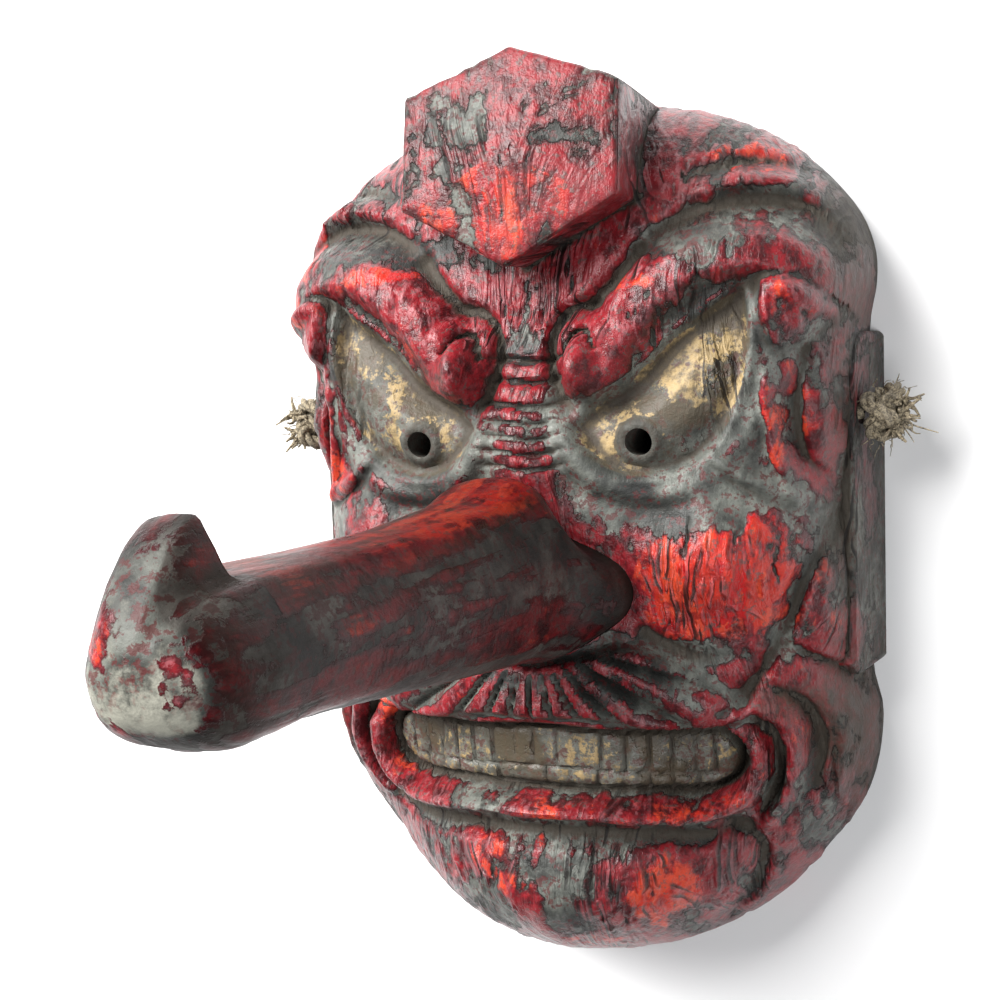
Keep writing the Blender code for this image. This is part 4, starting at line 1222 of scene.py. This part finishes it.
def old_paint_group():
    tree, given, wanted = new_group(
        "old paint",
        {"Place": ("Vector", None), "Grain": ("Vector", None),
         "Across": ("Vector", SMALL_SIDESTEP), "Left": ("Float", 0.6),
         "Bright": ("Float", 0.3), "Gilt": ("Float", 0.0), "Dirt_and_shade": ("Float", 0.0),
         "Flaky": ("Float", 0.3), "Rubbed_and_sheen": ("Float", 0.0)},
        {"Color": "Color", "Roughness": "Float", "Height": "Float"})
    flaky = given["Flaky"]
    mottle = speckle(given["Place"], 130.0, detail=5.0, roughness=0.68)
    broad = speckle(given["Place"], 42.0, distortion=0.5)
    streak = speckle(given["Grain"], 480.0, roughness=0.65)
    grit = speckle(given["Place"], 420.0, roughness=0.7)
    wear = weigh(grit, 0.6, times(mottle, 0.4))
    large, small = (add_node(tree, "Group", {"Vector": given["Grain"], "Across": given["Across"],
                                             **sizes}, node_tree=grain_flakes)
                    for sizes in (LARGE_FLAKES, SMALL_FLAKES))

    # How much paint is left, by place, by noise and flake by flake
    left = weigh(mottle, 0.55, minus(given["Left"], 0.375))
    left = weigh(large["Flake"], 0.12, left)
    left = weigh(streak, 0.14, left)
    painted, thick = mask_between(left, 0.47, 0.515), mask_between(left, 0.50, 0.68)
    top_coat = weigh(broad, 0.7, minus(given["Bright"], 0.52))
    top_coat = weigh(mottle, 0.5, top_coat)
    top_coat = weigh(small["Flake"], 0.16, top_coat)
    vermilion = times(mask_between(top_coat, 0.46, 0.62), thick)

    ground = blend(mask_between(broad, 0.36, 0.66), GROUND_DARK, GROUND_PALE)
    ground = blend(mask_between(mottle, 0.40, 0.66, 0.0, 0.6), ground, GROUND_DARK)
    ground = blend(mask_between(wear, 0.475, 0.44, 0.0, 0.75), ground, WASH)
    primer = mask_between(weigh(mottle, 1.6, given["Rubbed_and_sheen"]), 1.75, 2.25)
    ground = blend(primer, ground, PRIMER)
    crimson = blend(mask_between(mottle, 0.38, 0.58), CRIMSON_DEEP, CRIMSON)
    crimson = blend(mask_between(large["Flake"], 0.55, 0.9, 0.0, 0.5), crimson, CRIMSON)
    # Pale rose where the paint is rubbed, which is also a painted sheen where the light falls
    rubbed = times(given["Rubbed_and_sheen"], mask_between(streak, 0.51, 0.63))
    crimson = blend(times(rubbed, 0.5), crimson, ROSE_WEAR_AND_HIGHLIGHT)
    orange = blend(mask_between(small["Flake"], 0.3, 0.9), VERMILION, VERMILION_ORANGE)
    orange = blend(mask_between(mottle, 0.36, 0.52, 0.75, 0.0), orange, SCARLET_DARK)
    colour = blend(painted, ground, blend(thick, CRIMSON_DEEP, crimson))
    colour = blend(vermilion, colour, orange)
    # Painted highlight: pale rose along the raised rim of each lifted flake
    rim_highlights = times(times(large["Rim_highlight"], flaky), 0.42)
    colour = blend(times(rim_highlights, painted), colour, ROSE_WEAR_AND_HIGHLIGHT)
    worn = times(painted, mask_between(wear, 0.55, 0.59, 0.0, 0.65))
    colour = blend(worn, colour, SLATE)

    # Gilding over the ground on the eyes and teeth, worn through in places
    gilt = blend(mask_between(mottle, 0.38, 0.58), GILT_DARK, GILT)
    gilt_left = weigh(broad, 0.8, minus(given["Gilt"], 0.4))
    gilt_left = weigh(wear, 1.2, minus(gilt_left, 0.6))
    gilt_left = weigh(streak, 0.35, minus(gilt_left, 0.175))
    under_gilt = blend(mask_between(broad, 0.40, 0.56, 0.85, 0.2), ground, GILT_DARK)
    colour = blend(mask_between(given["Gilt"], 0.02, 0.15), colour, under_gilt)
    colour = blend(mask_between(gilt_left, 0.42, 0.54), colour, gilt)

    # Dirt and painted shade in the grooves; the cracks dark, with painted shadow below the flake
    # steps and the edges of lost paint
    grime_and_shade = weigh(streak, 0.8, minus(given["Dirt_and_shade"], 0.40))
    grime_and_shade = mask_between(grime_and_shade, 0.10, 0.80, 0.0, 0.9)
    colour = blend(grime_and_shade, colour, GRIME_AND_SHADE)
    cracks_and_step_shadows = times(large["Crack_and_shadow"], mask_between(flaky, 0.1, 0.5))
    fine_cracks_and_shadows = times(small["Crack_and_shadow"], mask_between(broad, 0.50, 0.60, 0.0, 0.4))
    # Painted shadow: a dark line along the low side of the step where paint is lost
    edge = times(mask_between(left, 0.43, 0.475), mask_between(left, 0.475, 0.50, 1.0, 0.0))
    edge = times(edge, mask_between(flaky, 0.1, 0.4, 0.0, 0.8))
    for more in (times(fine_cracks_and_shadows, flaky), edge):
        cracks_and_step_shadows = figure("MAXIMUM", cracks_and_step_shadows, more)
    colour = blend(times(cracks_and_step_shadows, 0.9), colour, CRACK_AND_SHADOW_DARK)

    rough = weigh(painted, -0.16, 0.50)
    rough = weigh(mottle, 0.30, minus(rough, 0.15))
    rough = weigh(grime_and_shade, 0.30, rough)

    height = weigh(painted, 0.40, times(vermilion, 0.15))
    lifts = weigh(large["Lift"], 1.6, times(small["Lift"], 0.3))
    for value, weight in ((lifts, flaky), (cracks_and_step_shadows, -0.5), (streak, 0.30), (mottle, 0.8),
                          (grit, 0.5)):
        height = weigh(value, weight, height)
    fill_sockets(wanted, {"Color": colour, "Roughness": rough, "Height": height})
    return tree


old_paint = old_paint_group()


def paint_material(name, squeeze, across, bump, matt=1.0, shine=0.42, tint=None):
    """Old paint whose grain runs along the axis that is squeezed."""
    material, surface = start_material(name)
    tree = material.node_tree
    values = {"Place": place_on_piece(surface), "Grain": place_on_piece(surface, squeeze),
              "Across": across}
    for socket, attribute in (("Left", "left"), ("Bright", "bright"), ("Gilt", "gold"),
                              ("Dirt_and_shade", "dirt"), ("Flaky", "flaky"), ("Rubbed_and_sheen", "rubbed")):
        values[socket] = add_node(tree, "Attribute", attribute_name=attribute)["Fac"]
    layers = add_node(tree, "Group", values, node_tree=old_paint)
    colour = layers["Color"]
    if tint:
        colour = blend(mask_between(values["Rubbed_and_sheen"], 0.6, 1.2, 1.0, 0.0), colour, tint, "MULTIPLY")
    dress(surface, colour, times(layers["Roughness"], matt), layers["Height"], bump, 0.0008)
    fill_sockets(surface, {"Specular IOR Level": shine})
    return material


face_paint = paint_material("cracked red paint", (1.0, 0.4, 0.5), SMALL_SIDESTEP, 1.0)
nose_paint = paint_material("worn nose paint", (1.0, 1.0, 0.14), (0.0002, 0.0002, 0.0), 0.5,
                            matt=0.9, shine=0.14, tint=(0.37, 0.32, 0.32, 1))

# %% [markdown]
# ## Bare wood and hemp
#
# Nobody painted the back. It shows gouged cypress, brown with age and darker where hands and breath
# reached it. The grain is a noise squeezed hard along Y. The rope is dusty hemp: pale fibres, grey
# dirt between them.

# %% Bare wood and hemp
WOOD_DARK, WOOD_PALE = (0.055, 0.030, 0.016, 1), (0.19, 0.115, 0.062, 1)
WOOD_STAIN = (0.028, 0.018, 0.012, 1)
FIBRE_DARK, FIBRE_PALE = (0.07, 0.055, 0.036, 1), (0.46, 0.385, 0.26, 1)
DUST = (0.20, 0.18, 0.145, 1)


def bare_wood():
    material, surface = start_material("bare old wood", (0.15, 0.09, 0.05))
    lines = speckle(place_on_piece(surface, (1.0, 0.045, 0.6)), 520.0, detail=5.0, distortion=0.4)
    stain = speckle(place_on_piece(surface), 30.0, detail=5.0)
    colour = blend(mask_between(lines, 0.3, 0.7), WOOD_DARK, WOOD_PALE)
    colour = blend(mask_between(stain, 0.42, 0.68, 0.0, 0.75), colour, WOOD_STAIN)
    dress(surface, colour, mask_between(stain, 0.3, 0.7, 0.62, 0.86), weigh(stain, 0.6, lines),
          0.5, 0.0006)
    return material


def hemp_fibre():
    material, surface = start_material("dusty hemp", (0.3, 0.26, 0.18))
    place = place_on_piece(surface)
    fibres = speckle(place, 900.0, distortion=1.5)
    dust = speckle(place, 120.0, detail=3.0)
    colour = blend(mask_between(fibres, 0.38, 0.62), FIBRE_DARK, FIBRE_PALE)
    colour = blend(mask_between(dust, 0.4, 0.7, 0.0, 0.5), colour, DUST)
    dress(surface, colour, 0.92, fibres, 0.8, 0.0005)
    return material


wood, hemp = bare_wood(), hemp_fibre()

# %% Give each piece its finish
for piece, finishes in ((cord, [hemp]), (knot_right, [hemp]), (knot_left, [hemp]),
                        (face, [face_paint, wood]), (nose, [nose_paint])):
    piece.data.materials.clear()
    for finish in finishes:
        piece.data.materials.append(finish)

mx, my, mz = (read_vectors(face.data.polygons, "center") / UNIT).T
my = my - MIDDLE_UP
from_rim = (rim_radius(mx, my) - np.hypot(mx, my)) / (WALL / UNIT)
in_hollow = (np.abs(mz - hollow_surface(mx, my)) < 1.2) & (from_rim > 0.9)
in_hollow |= (mz < 0.05) | ((from_rim > 0.9) & (from_rim < 1.3) & (mz < 30))
face.data.polygons.foreach_set("material_index", in_hollow.astype(np.int32))
for piece in (face, nose):
    piece.data.shade_smooth()
    piece.data.set_sharp_from_angle(angle=radians(48))
print("Faces of bare wood:", int(in_hollow.sum()))

# %% [markdown]
# ## Floor and light
#
# The photograph is a plain studio shot: a white ground, a large soft light high on the left, and a
# weaker one on the right that puts a line of light down the nose's side. The floor is a large pale
# plane at the level of the rim.

# %% Light the mask


def soft_light(name, place, target, size, power, colour=(1.0, 1.0, 1.0)):
    light = bpy.data.lights.new(name, "AREA")
    light.shape = "RECTANGLE"
    light.size, light.size_y = size
    light.energy = power
    light.color = colour
    lamp = bpy.data.objects.new(name, light)
    bpy.context.collection.objects.link(lamp)
    aim = (Vector(target) - Vector(place)).to_track_quat("-Z", "Y")
    lamp.matrix_world = Matrix.Translation(place) @ aim.to_matrix().to_4x4()


soft_light("window", (-0.68, 0.78, 1.05), (0, 0.02, 0.08), (0.95, 0.95), 58.0, (1.0, 0.99, 0.98))
soft_light("fill", (0.60, -0.25, 1.15), (0, 0, 0.08), (0.6, 0.6), 8.0, (0.97, 0.98, 1.0))

floor_shape = bmesh.new()
bmesh.ops.create_grid(floor_shape, x_segments=1, y_segments=1, size=3.0)
floor = new_object("floor", floor_shape)
pale_floor, floor_surface = start_material("pale floor", (0.8, 0.8, 0.8))
fill_sockets(floor_surface, {"Base Color": (0.93, 0.93, 0.93, 1), "Roughness": 0.8})
floor.data.materials.append(pale_floor)

world = bpy.data.worlds.new("studio")
bpy.context.scene.world = world
world.use_nodes = True
fill_sockets(world.node_tree.nodes["Background"], {"Color": (0.96, 0.98, 1.0, 1),
                                                   "Strength": 0.15})
bpy.context.scene.view_settings.view_transform = "Standard"
